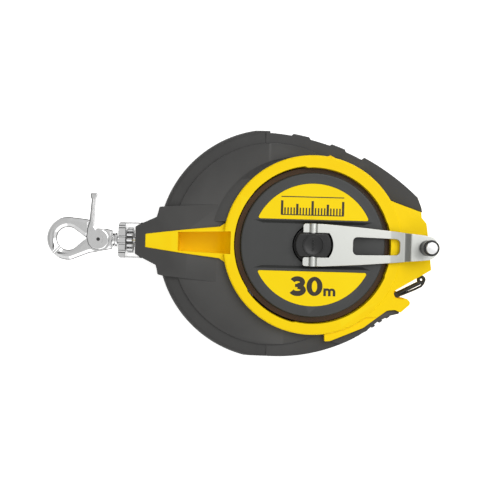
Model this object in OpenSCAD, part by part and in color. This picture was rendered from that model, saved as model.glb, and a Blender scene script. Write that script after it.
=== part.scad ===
// Closed-case surveyor's tape reel lying on its back, millimetres.
// The origin is the drum axis on the rear face. The blade leaves towards -X, the crank side faces +Z.

/* [Case] */
// Outside radius of the round part of the case
case_r = 74.5; // [68:0.5:92]
// How far the case reaches from the drum axis to the tip of the right end
body_reach = 103; // [96:1:125]
// How far the mouth stands out of the round part
nose_l = 14; // [12:0.5:18]
// Half width of the mouth at its tip
nose_half = 8.7; // [7.5:0.1:9.5]
// Height where the two half shells meet
part_z = 20; // [19.6:0.1:22]
// Height of the soft charcoal face
face_z = 36; // [35:0.5:38]
// Height of the yellow right end
body_z = 40; // [39:0.25:41.5]
// Height of the yellow arm on the left
arm_z = 38; // [37:0.25:38.25]
// Thickness of the soft overmould
skin = 2.2; // [1.6:0.1:3]
// Wall of the half shells
wall = 2.3; // [1.8:0.1:3]
// Floor of the rear half shell
floor_t = 2.4; // [2:0.1:3.5]
// How far the grip ridges stand proud
ridge_h = 1.3; // [0.8:0.1:2]
// Radius of the case screws' threads
screw_r = 1.5; // [1.2:0.1:2]

/* [Ring and dial] */
// Outside radius of the yellow ring
ring_r = 57.3; // [54:0.1:60]
// Radius of the well inside the ring
well_r = 49.8; // [46:0.1:52]
// Height of the ring and of the dial
ring_z = 42; // [41:0.1:42.2]
// Radius of the dial's raised disc
dial_r = 46; // [43:0.1:48]
// Radius of the round edge of the two labels
label_r = 39; // [34:0.1:42]
// Half width of the channel across the dial
channel_half = 14.8; // [14.5:0.1:17]
// Height of the channel's floor
channel_z = 39.5; // [39:0.1:40]

/* [Blade and drum] */
// Width of the steel blade
blade_w = 10; // [8:0.5:13]
// Thickness of the coated blade
blade_t = 0.4; // [0.3:0.05:0.6]
// Radius of the drum that the blade is wound on
drum_r = 20; // [16:0.5:26]
// Gap between the coil's outside and the flanges' edge
coil_gap = 3; // [2:0.5:8]
// Thickness of a drum flange
flange_t = 1.4; // [1:0.1:2]
// Radius of the drum's axle
axle_r = 3; // [2.5:0.1:3.8]
// Wall of the drum's bush
bush_t = 2; // [1.5:0.1:3]

/* [Gears and crank] */
// Module of the gear pair
gear_m = 0.7; // [0.6:0.05:0.9]
// Teeth of the crank gear
crank_teeth = 54; // [48:1:60]
// Teeth of the drum pinion
pinion_teeth = 18; // [16:1:22]
// Height of the gear teeth
gear_h = 6; // [5:0.5:6]
// Radius of the crank shaft
shaft_r = 5; // [4.4:0.1:6]
// Distance from the crank axis to the knob axis
crank_len = 71; // [66:0.5:72]
// Thickness of the crank arm
crank_t = 2.4; // [2:0.1:3]
// Height of the arm's fold axis
fold_z = 44; // [43.8:0.1:45]
// How far the arm's end steps up
joggle = 4; // [3:0.1:5]
// Radius of the hinge pins
hinge_r = 1.6; // [1.3:0.1:1.9]
// Radius of the knob
knob_r = 5; // [4.4:0.1:5.4]
// Length of the knob
knob_l = 14; // [12:0.5:14.2]
// Radius of the knob's stud
stud_r = 1.75; // [1.4:0.05:2.2]

/* [Snap hook] */
// Height of the hook's middle plane
hook_z = 12; // [11:0.5:14]
// Middle radius of the hook's ring
hook_r = 11; // [9.5:0.1:13]
// Thickness of the hook's round section
hook_t = 6.7; // [5:0.1:7.4]
// Radius of the trigger's disc
disc_r = 7.1; // [6:0.1:8]
// Radius of the trigger's rivet
rivet_r = 1.5; // [1.2:0.1:2]
// Length of the trigger's lever from the rivet
lever_l = 30.6; // [26:0.2:36]
// Radius of the swivel pin
swivel_r = 3; // [2.4:0.1:3.4]

/* [Lanyard link] */
// Thickness of the link's bar
link_t = 2.6; // [2:0.1:3]
// Length from the link's pin to its eye
link_l = 20.6; // [18:0.2:24]
// Radius of the link's pin
link_pin_r = 1.2; // [1:0.1:1.5]

/* [Fits] */
// Clearance of a running fit, on the radius
run_gap = 0.05; // [0.03:0.01:0.1]
// Clearance between pieces that move past each other
free_gap = 0.3; // [0.3:0.05:0.4]

/* [Hidden] */
$fn = 72;
base_case_r = 74.5;
base_reach = 103;
tip_x = -(case_r + nose_l);
step_x = -3.5;
belly_y = -72.4 * case_r / base_case_r;
shell_z = face_z - 2;
lid_t = 2.4;
plate_z = 29;
plate_t = 2.5;
flange_r = case_r - skin - wall - 5;
coil_r = flange_r - coil_gap;
drum_z = 4.8;
blade_z = hook_z - blade_w / 2;
front_flange_z = blade_z + blade_w + 0.8;
gear_z = plate_z - 2 - gear_h;
crank_x = gear_m * (crank_teeth + pinion_teeth) / 2;
bush_r = axle_r + bush_t;
arm_x = crank_x - ring_r;
scoop_x = [crank_x - crank_len - 15.2, crank_x - ring_r + 5];
scoop_z = 22.4;
scoop_half = 7.2;
hub_r = channel_half - 0.9;
hub_z = plate_z + plate_t + 3.8;
boss_r = 11.4;
boss_half = 7.4;
boss_top = fold_z + 2.6;
cap_sink = 0.8;
prong_in = boss_half + free_gap;
prong_out = channel_half - 1.3;
knuckle_r = hinge_r + 1.3;
knob_z = fold_z + joggle + crank_t / 2;
roller_r = [5.5, 4];
roller_at = [[-(case_r - 1), -(5.5 + free_gap)], [-(case_r + 3.5), 4.5]];
roller_pin_r = 1.5;
run_r = roller_r[0] + free_gap;
mouth_half = 3.2;
guide_z = [5, 19.4];
screw_x = sqrt(pow(case_r - 3.1, 2) - pow(16.5, 2));
screw_at = [
    [-screw_x, 16.5], [-screw_x, -16.5],
    plan_at(48, 52.5), plan_at(48, -54), plan_at(86, 20), plan_at(90, -8)
];
post_r = screw_r + 2;
rivet_x = tip_x - 27.4;
ring_x = rivet_x - 20.4;
claw_x = tip_x - 13.4;
claw_half = 12;
ferrule_r = 8.5;
seam_a = 227;
pin_at = plan_at(82, -32);
link_z = [17.4, 22.2];
link_a = 27;

// ---------------------------------------------------------------- plan shapes

// A point of the plan, given for a case of the base radius and reach
function plan_at(x, y) = [x * body_reach / base_reach, y * case_r / base_case_r];

function plan_points(list) = [for (p = list) plan_at(p[0], p[1])];

function inward(a, b) = [a[1] - b[1], b[0] - a[0]] / norm(b - a);

// A corner moved inside by d, for a counter-clockwise outline
function inset_corner(a, b, c, d) =
    b + (inward(a, b) + inward(b, c)) * d / (1 + inward(a, b) * inward(b, c));

function inset_points(list, d) = [
    for (i = [0 : len(list) - 1])
        inset_corner(list[(i + len(list) - 1) % len(list)], list[i], list[(i + 1) % len(list)], d)
];

// Centre and radius of the circle through three points
function arc_through(a, b, c) =
    let (
        u = b - a,
        v = c - a,
        k = 2 * (u[0] * v[1] - u[1] * v[0]),
        m = [v[1] * (u * u) - u[1] * (v * v), u[0] * (v * v) - v[0] * (u * u)] / k
    ) [a + m, norm(m)];

top_arc = arc_through(plan_at(-3.5, 71.6), plan_at(45, 60.7), plan_at(93.9, 28.3));
belly_arc = arc_through(plan_at(0, -72.4), plan_at(30, -68.9), plan_at(54, -59.4));

end_points = plan_points([
    [-18, -100], [22, -79], [54, -59.3], [61.8, -54.5], [68.6, -48.5], [78.5, -43.5],
    [83.3, -42], [90.1, -35.9], [86.8, -32.2], [83.6, -33.2], [78.8, -32.6], [77.5, -28.3],
    [103, -13.6], [102.3, -9.2], [100.1, 8.7], [99.2, 15.8], [96.1, 19.5], [95.8, 22.8],
    [93.9, 32.2], [60, 100], [-18, 100]
]);

nose_points = [
    [-30, -26], [-24, 0], [-30, 26],
    [-(case_r - 0.6), 21.5], [-(case_r + 0.8), 15.8], [tip_x + 2, nose_half + 1.3], [tip_x, nose_half],
    [tip_x, -nose_half], [tip_x + 2, -nose_half - 1.3], [-(case_r + 0.8), -15.8], [-(case_r - 0.6), -21.5]
];

// Yellow face of the right end, without the ring
face_points = plan_points([
    [20, -40], [30, -57.6], [34.5, -61.3], [38, -61], [59, -52], [74, -40.5], [79, -40], [83.3, -42],
    [95, -60], [130, -60], [130, 11.2], [95.8, 22.8], [73, 30.5], [66.5, 39.5], [54, 49], [36, 58.5],
    [31, 57], [20, 40]
]);

// Part of the right end where the yellow shell reaches the outline
yellow_end_points = plan_points([
    [64, -30], [74, -40.5], [79, -40], [83.3, -42], [95, -60], [130, -60], [130, 11.2],
    [95.8, 22.8], [73, 30.5], [64, 24]
]);

module arc_disc(arc, grow) {
    translate(arc[0])
        circle(r = arc[1] + grow);
}

module round_plan(inset = 0) {
    intersection() {
        circle(r = case_r - inset);
        translate([-2 * case_r, belly_y + inset])
            square([2 * case_r + step_x, 3 * case_r]);
    }
}

module end_plan(inset = 0) {
    intersection() {
        arc_disc(top_arc, -inset);
        arc_disc(belly_arc, -inset);
        polygon(inset_points(end_points, inset));
    }
}

module nose_plan(inset = 0) {
    polygon(inset_points(nose_points, inset));
}

module case_plan(inset = 0) {
    round_plan(inset);
    end_plan(inset);
    nose_plan(inset);
}

module shell_plan() {
    case_plan(skin);
    intersection() {
        end_plan(0);
        polygon(yellow_end_points);
    }
}

module cavity_plan() {
    intersection() {
        union() {
            round_plan(skin + wall);
            arc_cavity();
            nose_plan(skin + wall);
        }
        translate([tip_x + skin + 4.5, -2 * case_r])
            square([4 * case_r, 4 * case_r]);
    }
}

module arc_cavity() {
    intersection() {
        arc_disc(top_arc, -skin - wall);
        arc_disc(belly_arc, -skin - wall);
        polygon(plan_points([
            [-18, -90], [20, -80], [52, -55.4], [60, -50], [67, -43.5], [73, -38.5], [73, -27],
            [98, -12.6], [96.3, 6], [94, 14], [91, 18], [88.6, 28], [60, 100], [-18, 100]
        ]));
    }
}

module arm_plan(grow = 0) {
    polygon([
        [tip_x + 6.5 - grow, 4.3 + grow], [-62, 7 + grow], [-54, 8 + grow], [-34.4, 10.2 + grow],
        [arm_x + 3, 14.5 + grow], [arm_x + 6, 20], [crank_x, 0], [arm_x + 6, -20],
        [arm_x + 3, -14.5 - grow], [-34.4, -10.2 - grow], [-54, -8 - grow], [-62, -7 - grow],
        [tip_x + 6.5 - grow, -4.3 - grow]
    ]);
}

module ring_disc(r) {
    translate([crank_x, 0])
        circle(r = r);
}

module yellow_plan() {
    ring_disc(ring_r);
    arm_plan();
    polygon(face_points);
}

// Ridges and pad that stand proud along the top edge
module ridge_plan() {
    intersection() {
        arc_disc(top_arc, ridge_h);
        polygon(plan_points([[10.5, 40], [22, 40], [22, 90], [10.5, 90]]));
    }
    intersection() {
        arc_disc(top_arc, ridge_h);
        polygon(plan_points([[35.1, 40], [45, 40], [45, 90], [35.1, 90]]));
    }
    intersection() {
        arc_disc(top_arc, ridge_h + 0.8);
        polygon(plan_points([[56, 40], [73, 31], [95.4, 23.2], [93.9, 32.2], [75, 90], [56, 90]]));
    }
}

// Four low ribs that stand proud along the lower edge
module lower_rib_plan() {
    for (x = [57, 64, 71, 78])
        translate(plan_at(x, -56 + (x - 57) * 0.62))
            rotate(33)
                square([3.2, 2.6], center = true);
}

module slab(z0, z1) {
    translate([0, 0, z0])
        linear_extrude(height = z1 - z0)
            children();
}

module tube(r_out, r_in, z0, z1) {
    translate([0, 0, z0])
        difference() {
            cylinder(r = r_out, h = z1 - z0);
            translate([0, 0, -1])
                cylinder(r = r_in, h = z1 - z0 + 2);
        }
}

module rod(r, z0, z1) {
    translate([0, 0, z0])
        cylinder(r = r, h = z1 - z0);
}

module at_crank() {
    translate([crank_x, 0, 0])
        children();
}

// ---------------------------------------------------------------- case

module rear_shell() {
    color("gold")
    difference() {
        union() {
            difference() {
                slab(0, part_z) shell_plan();
                slab(floor_t, part_z + 1) cavity_plan();
            }
            slab(floor_t - 1, part_z)
                screw_posts();
            rod(axle_r + 3.5, floor_t - 1, drum_z - 0.4);
            for (n = [0, 1])
                translate(roller_at[n])
                    rod(roller_pin_r + 1.3, floor_t - 1, guide_z[0] - 0.1);
            translate([tip_x + skin + 1, -mouth_half - 2, floor_t - 1])
                cube([5.4, 2 * mouth_half + 4, part_z - floor_t + 1]);
            link_ear();
        }
        roller_room();
        for (p = screw_at)
            translate(p) {
                rod(screw_r + 0.2, -1, part_z + 1);
                rod(screw_r + 1.4, -1, 3.2);
            }
        rod(axle_r, 1.2, part_z);
        for (n = [0, 1])
            translate(roller_at[n])
                rod(roller_pin_r, 1.4, part_z);
        mouth_cut();
        link_swing_cut();
        translate([pin_at[0], pin_at[1], 0])
            rod(link_pin_r, 11, part_z);
    }
}

// Posts for the case screws, cut off at the shell's outside
module screw_posts() {
    intersection() {
        shell_plan();
        union()
            for (p = screw_at)
                translate(p)
                    circle(r = post_r);
    }
}

// Room for the two guide rollers to turn in
module roller_room() {
    for (n = [0, 1])
        translate(roller_at[n])
            rod(roller_r[n] + free_gap + 0.1, guide_z[0] - 0.1, part_z + 1);
}

// Lug under the link that holds its pin
module link_ear() {
    slab(9, link_z[0] - free_gap) {
        translate(pin_at)
            circle(r = 3.2);
        polygon([pin_at + [-6, 3], pin_at + [-6, -6.5], pin_at + [4, -6.5], pin_at + [3, 0]]);
    }
}

// Room between the cheeks for the link
module link_swing_cut() {
    slab(link_z[0] - free_gap, link_z[1] + free_gap)
        translate(pin_at) {
            circle(r = 3.6);
            polygon([[0, 3.6], [30, 19], [40, -40], [8, -12], [-1.6, -3.2]]);
        }
}

module mouth_cut() {
    translate([tip_x - 1, -mouth_half, guide_z[0]])
        cube([skin + 8.6, 2 * mouth_half, 40 + part_z]);
}

module front_shell() {
    color("gold")
    difference() {
        union() {
            difference() {
                union() {
                    slab(part_z, shell_z) shell_plan();
                    slab(part_z, body_z)
                        intersection() {
                            shell_plan();
                            polygon(face_points);
                        }
                }
                slab(part_z - 1, shell_z - lid_t) cavity_plan();
                slab(part_z - 1, body_z - lid_t)
                    difference() {
                        intersection() {
                            arc_cavity();
                            polygon(inset_points(face_points, wall));
                        }
                        ring_disc(ring_r);
                    }
            }
            slab(shell_z - lid_t, arm_z) arm_plan();
            at_crank()
                ring();
            scoop_box();
            slab(part_z, shell_z)
                screw_posts();
            slab(part_z, body_z - lid_t / 2)
                intersection() {
                    screw_posts();
                    polygon(inset_points(face_points, wall));
                }
            at_crank()
                rod(shaft_r + bush_t + 3, plate_z - 1.4, hub_z - 0.9);
            rod(axle_r + 2.2, plate_z - 1.4, plate_z);
        }
        at_crank() {
            difference() {
                rod(well_r, plate_z + plate_t, ring_z + 1);
                rod(shaft_r + bush_t + 3, plate_z, hub_z - 0.9);
            }
            rod(shaft_r + bush_t, gear_z, ring_z);
        }
        scoop();
        for (p = screw_at)
            translate(p)
                rod(screw_r, part_z - 1, part_z + 9);
        rod(axle_r + run_gap, part_z - 1, plate_z + 1.4);
        slab(part_z - 1, part_z + 0.2)
            translate([tip_x, -mouth_half])
                square([skin + 7.6, 2 * mouth_half]);
        link_swing_cut();
        translate([pin_at[0], pin_at[1], 0])
            rod(link_pin_r + 1.4, part_z - 1, body_z + 1);
    }
}

// Ring wall with a rounded top, and the plate at the bottom of its well
module ring() {
    rotate_extrude()
        union() {
            polygon([
                [0, plate_z], [ring_r, plate_z], [ring_r, ring_z - 1.6], [ring_r - 1.6, ring_z],
                [0, ring_z]
            ]);
            translate([ring_r - 1.6, ring_z - 1.6])
                circle(r = 1.6);
        }
}

// Walls and floor of the scoop that the folded knob sits in
module scoop_box() {
    translate([scoop_x[0] - 2, -scoop_half - 2, scoop_z - 2])
        cube([scoop_x[1] - scoop_x[0] + 6, 2 * scoop_half + 4, shell_z - scoop_z + 2]);
}

module scoop() {
    intersection() {
        rotate([90, 0, 0])
            translate([0, 0, -scoop_half])
                linear_extrude(height = 2 * scoop_half)
                    polygon([
                        [scoop_x[0], scoop_z], [scoop_x[0] + 22, scoop_z], [scoop_x[1], arm_z - 3],
                        [scoop_x[1], ring_z + 2], [scoop_x[0], ring_z + 2]
                    ]);
        slab(scoop_z - 1, ring_z + 3)
            polygon([
                [scoop_x[0], -6], [scoop_x[0] + 12, -6.4], [scoop_x[1], -scoop_half],
                [scoop_x[1], scoop_half], [scoop_x[0] + 12, 6.4], [scoop_x[0], 6]
            ]);
    }
}

// Left part of the case, up to the steps where the grips begin
module left_zone() {
    polygon([
        [-2 * case_r, -2 * case_r], [6.7, -2 * case_r], [6.7, 0], [step_x, 0],
        [step_x, 2 * case_r], [-2 * case_r, 2 * case_r]
    ]);
}

module rear_overmould() {
    color("dimgray")
    difference() {
        slab(0.8, part_z) {
            difference() {
                union() {
                    case_plan();
                    ridge_plan();
                }
                shell_plan();
            }
        }
        mouth_cut();
        link_swing_cut();
        slab(0, part_z + 1)
            polygon(yellow_end_points);
    }
}

module front_skin(z_top) {
    difference() {
        slab(part_z, z_top)
            children();
        slab(0, shell_z)
            shell_plan();
        slab(0, ring_z + 5)
            yellow_plan();
    }
}

module front_overmould() {
    color("dimgray") {
        front_skin(face_z)
            intersection() {
                union() {
                    round_plan();
                    end_plan();
                }
                left_zone();
            }
        intersection() {
            difference() {
                front_skin(face_z + 1)
                    nose_plan();
                slab(0, face_z)
                    intersection() {
                        round_plan();
                        left_zone();
                    }
            }
            slab(0, face_z + 1)
                left_zone();
        }
    }
}

module top_grip() {
    color("dimgray")
        front_skin(face_z + 1)
            difference() {
                intersection() {
                    union() {
                        end_plan();
                        ridge_plan();
                    }
                    translate([step_x, 0])
                        square([3 * case_r, 3 * case_r]);
                }
                polygon(yellow_end_points);
            }
}

module lower_grip() {
    color("dimgray")
        front_skin(face_z + 1)
            difference() {
                intersection() {
                    union() {
                        end_plan();
                        lower_rib_plan();
                    }
                    translate([6.7, -3 * case_r])
                        square([3 * case_r, 3 * case_r]);
                }
                polygon(yellow_end_points);
            }
}

module dial_plate() {
    color([0.2, 0.2, 0.2])
    at_crank()
    difference() {
        union() {
            rod(well_r - 0.2, plate_z + plate_t, 35);
            rod(dial_r, plate_z + plate_t, ring_z);
        }
        rod(channel_half - 0.4, plate_z, ring_z + 1);
        slab(plate_z, channel_z - 2.2)
            difference() {
                circle(r = dial_r - 2.4);
                circle(r = channel_half + 1.6);
            }
        slab(channel_z, ring_z + 1)
            square([2 * ring_r, 2 * channel_half], center = true);
        for (side = [-1, 1])
            slab(ring_z - 0.5, ring_z + 1)
                label_plan(side, 0.1);
    }
}

module label_plan(side, grow = 0) {
    intersection() {
        circle(r = label_r + grow);
        translate([-label_r - 1, side > 0 ? channel_half + 1.2 - grow : -label_r - 1])
            square([2 * label_r + 2, label_r - channel_half - 0.2 + grow]);
    }
}

module upper_label() {
    color("gold")
        at_crank()
            slab(ring_z - 0.5, ring_z + 0.05)
                label_plan(1);
}

module lower_label() {
    color("gold")
        at_crank()
            slab(ring_z - 0.5, ring_z + 0.05)
                label_plan(-1);
}

module case_screws() {
    color("silver")
        for (p = screw_at)
            translate(p)
                difference() {
                    union() {
                        rod(screw_r + 1.2, 1.2, 3.2);
                        rod(screw_r, 3.2, part_z + 8.5);
                    }
                    translate([0, 0, 1.6])
                        cube([0.8, 3, 2], center = true);
                    translate([0, 0, 1.6])
                        cube([3, 0.8, 2], center = true);
                }
}

// ---------------------------------------------------------------- mouth and blade run

module mouth_guide() {
    color([0.15, 0.15, 0.15])
    difference() {
        translate([tip_x + 0.3, -mouth_half, guide_z[0]])
            cube([6.2, 2 * mouth_half, guide_z[1] - guide_z[0]]);
        translate([tip_x - 1, -blade_t / 2 - 0.4, blade_z - 0.4])
            cube([10, blade_t + 0.8, blade_w + 0.8]);
        wiper_pocket(0);
    }
}

module wiper_pocket(gap) {
    translate([tip_x + 2.4 + gap, -1.9 + gap, blade_z])
        cube([1.8 - 2 * gap, 3.8 - 2 * gap, blade_w]);
}

module mouth_wiper() {
    color("black")
    difference() {
        wiper_pocket(0);
        translate([tip_x, -blade_t / 2 - 0.1, blade_z - 1])
            cube([10, blade_t + 0.2, blade_w + 2]);
    }
}

module roller_pins() {
    color("silver")
        for (n = [0, 1])
            translate(roller_at[n])
                rod(roller_pin_r, 1.4, part_z - 0.2);
}

module guide_roller(n) {
    color("white")
        translate(roller_at[n])
            tube(roller_r[n], roller_pin_r + run_gap, guide_z[0] + 0.2, guide_z[1] - 0.2);
}

module near_roller() {
    guide_roller(0);
}

module far_roller() {
    guide_roller(1);
}

// Angles of the straight stretch that leaves the coil and meets the near roller
run_c = coil_r + 0.7;
run_d = norm(roller_at[0]);
run_base = atan2(roller_at[0][1], roller_at[0][0]);
run_turn = run_base + acos((run_c + run_r) / run_d);
run_start = run_c * [cos(run_turn), sin(run_turn)];
run_touch = roller_at[0] - run_r * [cos(run_turn), sin(run_turn)];

module blade_run() {
    color("lightgray")
    slab(blade_z, blade_z + blade_w) {
        polygon([
            run_start - blade_t / 2 * [cos(run_turn), sin(run_turn)],
            run_touch - blade_t / 2 * [cos(run_turn), sin(run_turn)],
            run_touch + blade_t / 2 * [cos(run_turn), sin(run_turn)],
            run_start + blade_t / 2 * [cos(run_turn), sin(run_turn)]
        ]);
        translate(roller_at[0])
            intersection() {
                difference() {
                    circle(r = run_r + blade_t / 2);
                    circle(r = run_r - blade_t / 2);
                }
                polygon([
                    [0, 0], 20 * [cos(run_turn - 180), sin(run_turn - 180)], [20, 20], [0, 20]
                ]);
            }
    }
}

module blade_lead() {
    color("gold")
        translate([tip_x - 4, -blade_t / 2, blade_z])
            cube([roller_at[0][0] - free_gap - tip_x + 4, blade_t, blade_w]);
}

// ---------------------------------------------------------------- drum

module drum_axle() {
    color("silver")
        rod(axle_r, 1.2, plate_z + 1.2);
}

module drum() {
    color([0.25, 0.25, 0.25])
    difference() {
        union() {
            rod(flange_r, drum_z, drum_z + flange_t);
            rod(drum_r, drum_z, front_flange_z);
        }
        rod(bush_r, drum_z - 1, front_flange_z + 1);
        for (a = [0 : 60 : 359])
            rotate(a + 30)
                translate([(drum_r + bush_r) / 2, 0, 0])
                    rod((drum_r - bush_r) / 2 - 3, drum_z - 1, front_flange_z + 1);
        for (a = [0 : 60 : 359])
            rotate(a)
                translate([(drum_r + coil_r) / 2, 0, 0])
                    rod(9, drum_z - 1, drum_z + flange_t + 1);
        for (a = [0 : 120 : 359])
            rotate(a)
                translate([bush_r + 3, 0, 0])
                    rod(1, front_flange_z - 8, front_flange_z + 1);
    }
}

module drum_front_flange() {
    color([0.25, 0.25, 0.25])
    difference() {
        rod(flange_r, front_flange_z, front_flange_z + flange_t);
        rod(bush_r, front_flange_z - 1, front_flange_z + flange_t + 1);
        for (a = [0 : 60 : 359])
            rotate(a)
                translate([(drum_r + coil_r) / 2, 0, 0])
                    rod(9, front_flange_z - 1, front_flange_z + flange_t + 1);
        for (a = [0 : 120 : 359])
            rotate(a)
                translate([bush_r + 3, 0, 0])
                    rod(1, front_flange_z - 1, front_flange_z + flange_t + 1);
    }
}

module drum_bush() {
    color("goldenrod")
        tube(bush_r, axle_r + run_gap, drum_z, front_flange_z + flange_t);
}

module drum_pinion() {
    color("white")
    difference() {
        union() {
            rod(bush_r + 4.6, front_flange_z + flange_t, gear_z - 0.4);
            rod(gear_m * (pinion_teeth - 2.5) / 2, front_flange_z + flange_t, gear_z + gear_h);
            slab(gear_z, gear_z + gear_h)
                gear_plan(pinion_teeth);
        }
        rod(axle_r + run_gap, front_flange_z, gear_z + gear_h + 1);
        for (a = [0 : 120 : 359])
            rotate(a)
                translate([bush_r + 3, 0, 0])
                    rod(1, front_flange_z, gear_z);
    }
}

module pinion_screws() {
    color("silver")
        for (a = [0 : 120 : 359])
            rotate(a)
                translate([bush_r + 3, 0, 0])
                    rod(1, front_flange_z - 7, gear_z - 0.4);
}

module blade_coil() {
    color("lightgray")
        tube(coil_r, drum_r, blade_z, blade_z + blade_w);
}

// ---------------------------------------------------------------- gears

function inv_angle(a) = tan(a) * 180 / PI - a;

// Point at a distance and an angle
function polar(r, a) = r * [cos(a), sin(a)];

// Half the angle that a tooth spans at radius r
function tooth_half(n, r) =
    let (pitch = gear_m * n / 2, base = pitch * cos(20))
    90 / n - 1.4 / n + inv_angle(20) - inv_angle(acos(min(1, base / r)));

module gear_plan(n) {
    root = gear_m * (n - 2.5) / 2;
    base = max(root, gear_m * n / 2 * cos(20));
    tip = gear_m * (n + 2) / 2;
    radii = [for (s = [0 : 4]) base + (tip - base) * s / 4];
    polygon([
        for (t = [0 : n - 1])
            each concat(
                [polar(root, 360 * t / n - tooth_half(n, base))],
                [for (r = radii) polar(r, 360 * t / n - tooth_half(n, r))],
                [for (s = [4 : -1 : 0])
                    let (r = radii[s])
                    polar(r, 360 * t / n + tooth_half(n, r))],
                [polar(root, 360 * t / n + tooth_half(n, base))]
            )
    ]);
}

module shaft_flat(grow) {
    intersection() {
        circle(r = shaft_r - 1 + grow);
        translate([-2 * shaft_r, -2 * shaft_r])
            square([2 * shaft_r + shaft_r - 2 + grow, 4 * shaft_r]);
    }
}

module crank_gear() {
    color("white")
    at_crank()
    difference() {
        rotate(180 / crank_teeth)
            slab(gear_z, gear_z + gear_h)
                gear_plan(crank_teeth);
        slab(gear_z - 1, gear_z + gear_h + 1)
            shaft_flat(run_gap);
        rod(shaft_r - 0.8, gear_z - 1, gear_z + 1.8);
        for (a = [30 : 60 : 359])
            rotate(a)
                translate([shaft_r + 6, 0, 0])
                    rod(3.6, gear_z - 1, gear_z + gear_h + 1);
    }
}

module gear_screw() {
    color("silver")
        at_crank() {
            difference() {
                rod(shaft_r - 1.2, gear_z + 0.1, gear_z + 1.8);
                translate([0, 0, gear_z])
                    cube([1, 6, 1.6], center = true);
            }
            rod(1.25, gear_z + 1.8, gear_z + 9);
        }
}

module crank_bush() {
    color("goldenrod")
        at_crank() {
            tube(shaft_r + bush_t, shaft_r + run_gap, plate_z - 1.6, hub_z - 0.1);
            tube(shaft_r + bush_t + 2.5, shaft_r + bush_t, hub_z - 0.9, hub_z - 0.1);
        }
}

// ---------------------------------------------------------------- crank

module boss_plan(r, half) {
    intersection() {
        circle(r = r);
        square([3 * r, 2 * half], center = true);
    }
}

module crank_hub() {
    color([0.13, 0.13, 0.13])
    at_crank()
    difference() {
        union() {
            slab(gear_z + 1.8, gear_z + gear_h + 0.2)
                shaft_flat(0);
            rod(shaft_r, gear_z + gear_h + 0.2, hub_z + 0.1);
            rod(hub_r, hub_z, hub_z + 1.7);
            slab(hub_z + 1, boss_top)
                boss_plan(boss_r, boss_half);
        }
        rod(1.25, gear_z, gear_z + 9.4);
        rod(boss_half - 0.6, boss_top - cap_sink, boss_top + 1);
        for (side = [-1, 1])
            translate([0, side * (boss_half - 3.4), fold_z])
                rotate([-90 * side, 0, 0])
                    cylinder(r = hinge_r, h = 6);
    }
}

module hub_cap() {
    color([0.1, 0.1, 0.1])
    at_crank()
        rotate_extrude()
            difference() {
                polygon([
                    [0, boss_top - cap_sink], [boss_half - 0.6, boss_top - cap_sink],
                    [boss_half - 0.6, boss_top + 0.7], [boss_half - 1.2, boss_top + 1.3],
                    [0, boss_top + 1.3]
                ]);
                translate([0, boss_top + 12])
                    circle(r = 12);
            }
}

module hinge_pins() {
    color("silver")
        at_crank()
            for (side = [-1, 1])
                translate([0, side * (boss_half - 3.4), fold_z])
                    rotate([-90 * side, 0, 0]) {
                        cylinder(r = hinge_r, h = prong_out - boss_half + 3.5);
                        translate([0, 0, prong_out - boss_half + 3.5])
                            cylinder(r = hinge_r + 0.8, h = 0.4);
                    }
}

module arm_outline() {
    difference() {
        union() {
            polygon([
                [-6.5, -prong_out], [6, -prong_out], [crank_len - 18, -9.8], [crank_len - 10, -8.75],
                [crank_len, -7.8], [crank_len, 7.8], [crank_len - 10, 8.75], [crank_len - 18, 9.8],
                [6, prong_out], [-6.5, prong_out]
            ]);
            translate([crank_len, 0])
                circle(r = 7.8);
        }
        translate([-8, -prong_in])
            square([8.5, 2 * prong_in]);
        boss_plan(boss_r + 1.2, prong_in);
        hull()
            for (side = [-1, 1]) {
                translate([26.5, side * 4.2])
                    circle(r = 1.5, $fn = 32);
                translate([crank_len - 17, side * 3.6])
                    circle(r = 1.5, $fn = 32);
            }
    }
}

module crank_arm() {
    color([0.8, 0.8, 0.8])
    at_crank()
    difference() {
        union() {
            intersection() {
                rotate([90, 0, 0])
                    translate([0, 0, -prong_out])
                        linear_extrude(height = 2 * prong_out)
                            polygon([
                                [-7, fold_z - crank_t / 2], [crank_len - 13, fold_z - crank_t / 2],
                                [crank_len - 9, fold_z - crank_t / 2 + joggle],
                                [crank_len + 9, fold_z - crank_t / 2 + joggle],
                                [crank_len + 9, fold_z + crank_t / 2 + joggle],
                                [crank_len - 10, fold_z + crank_t / 2 + joggle],
                                [crank_len - 14, fold_z + crank_t / 2], [-7, fold_z + crank_t / 2]
                            ]);
                slab(fold_z - 5, fold_z + 10)
                    arm_outline();
            }
            for (side = [-1, 1])
                translate([0, side * prong_in, fold_z])
                    rotate([-90 * side, 0, 0])
                        cylinder(r = knuckle_r, h = prong_out - prong_in);
        }
        for (side = [-1, 1])
            translate([0, side * (prong_in - 1), fold_z])
                rotate([-90 * side, 0, 0])
                    cylinder(r = hinge_r + run_gap, h = 10);
        translate([crank_len, 0, 0])
            rod(stud_r, fold_z, fold_z + 10);
    }
}

module knob_stud() {
    color("silver")
        at_crank()
            translate([crank_len, 0, 0]) {
                rod(stud_r, knob_z - crank_t, knob_z + knob_l - 1.2);
                rod(stud_r + 1.4, knob_z - crank_t - 1.1, knob_z - crank_t);
            }
}

module knob_cap() {
    color([0.92, 0.92, 0.92])
        at_crank()
            translate([crank_len, 0, 0])
                rotate_extrude()
                    polygon([
                        [0, knob_z + knob_l - 1.2], [knob_r - 1.4, knob_z + knob_l - 1.2],
                        [knob_r - 1.4, knob_z + knob_l + 0.6], [knob_r - 2.2, knob_z + knob_l + 1.4],
                        [0, knob_z + knob_l + 1.6]
                    ]);
}

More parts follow.
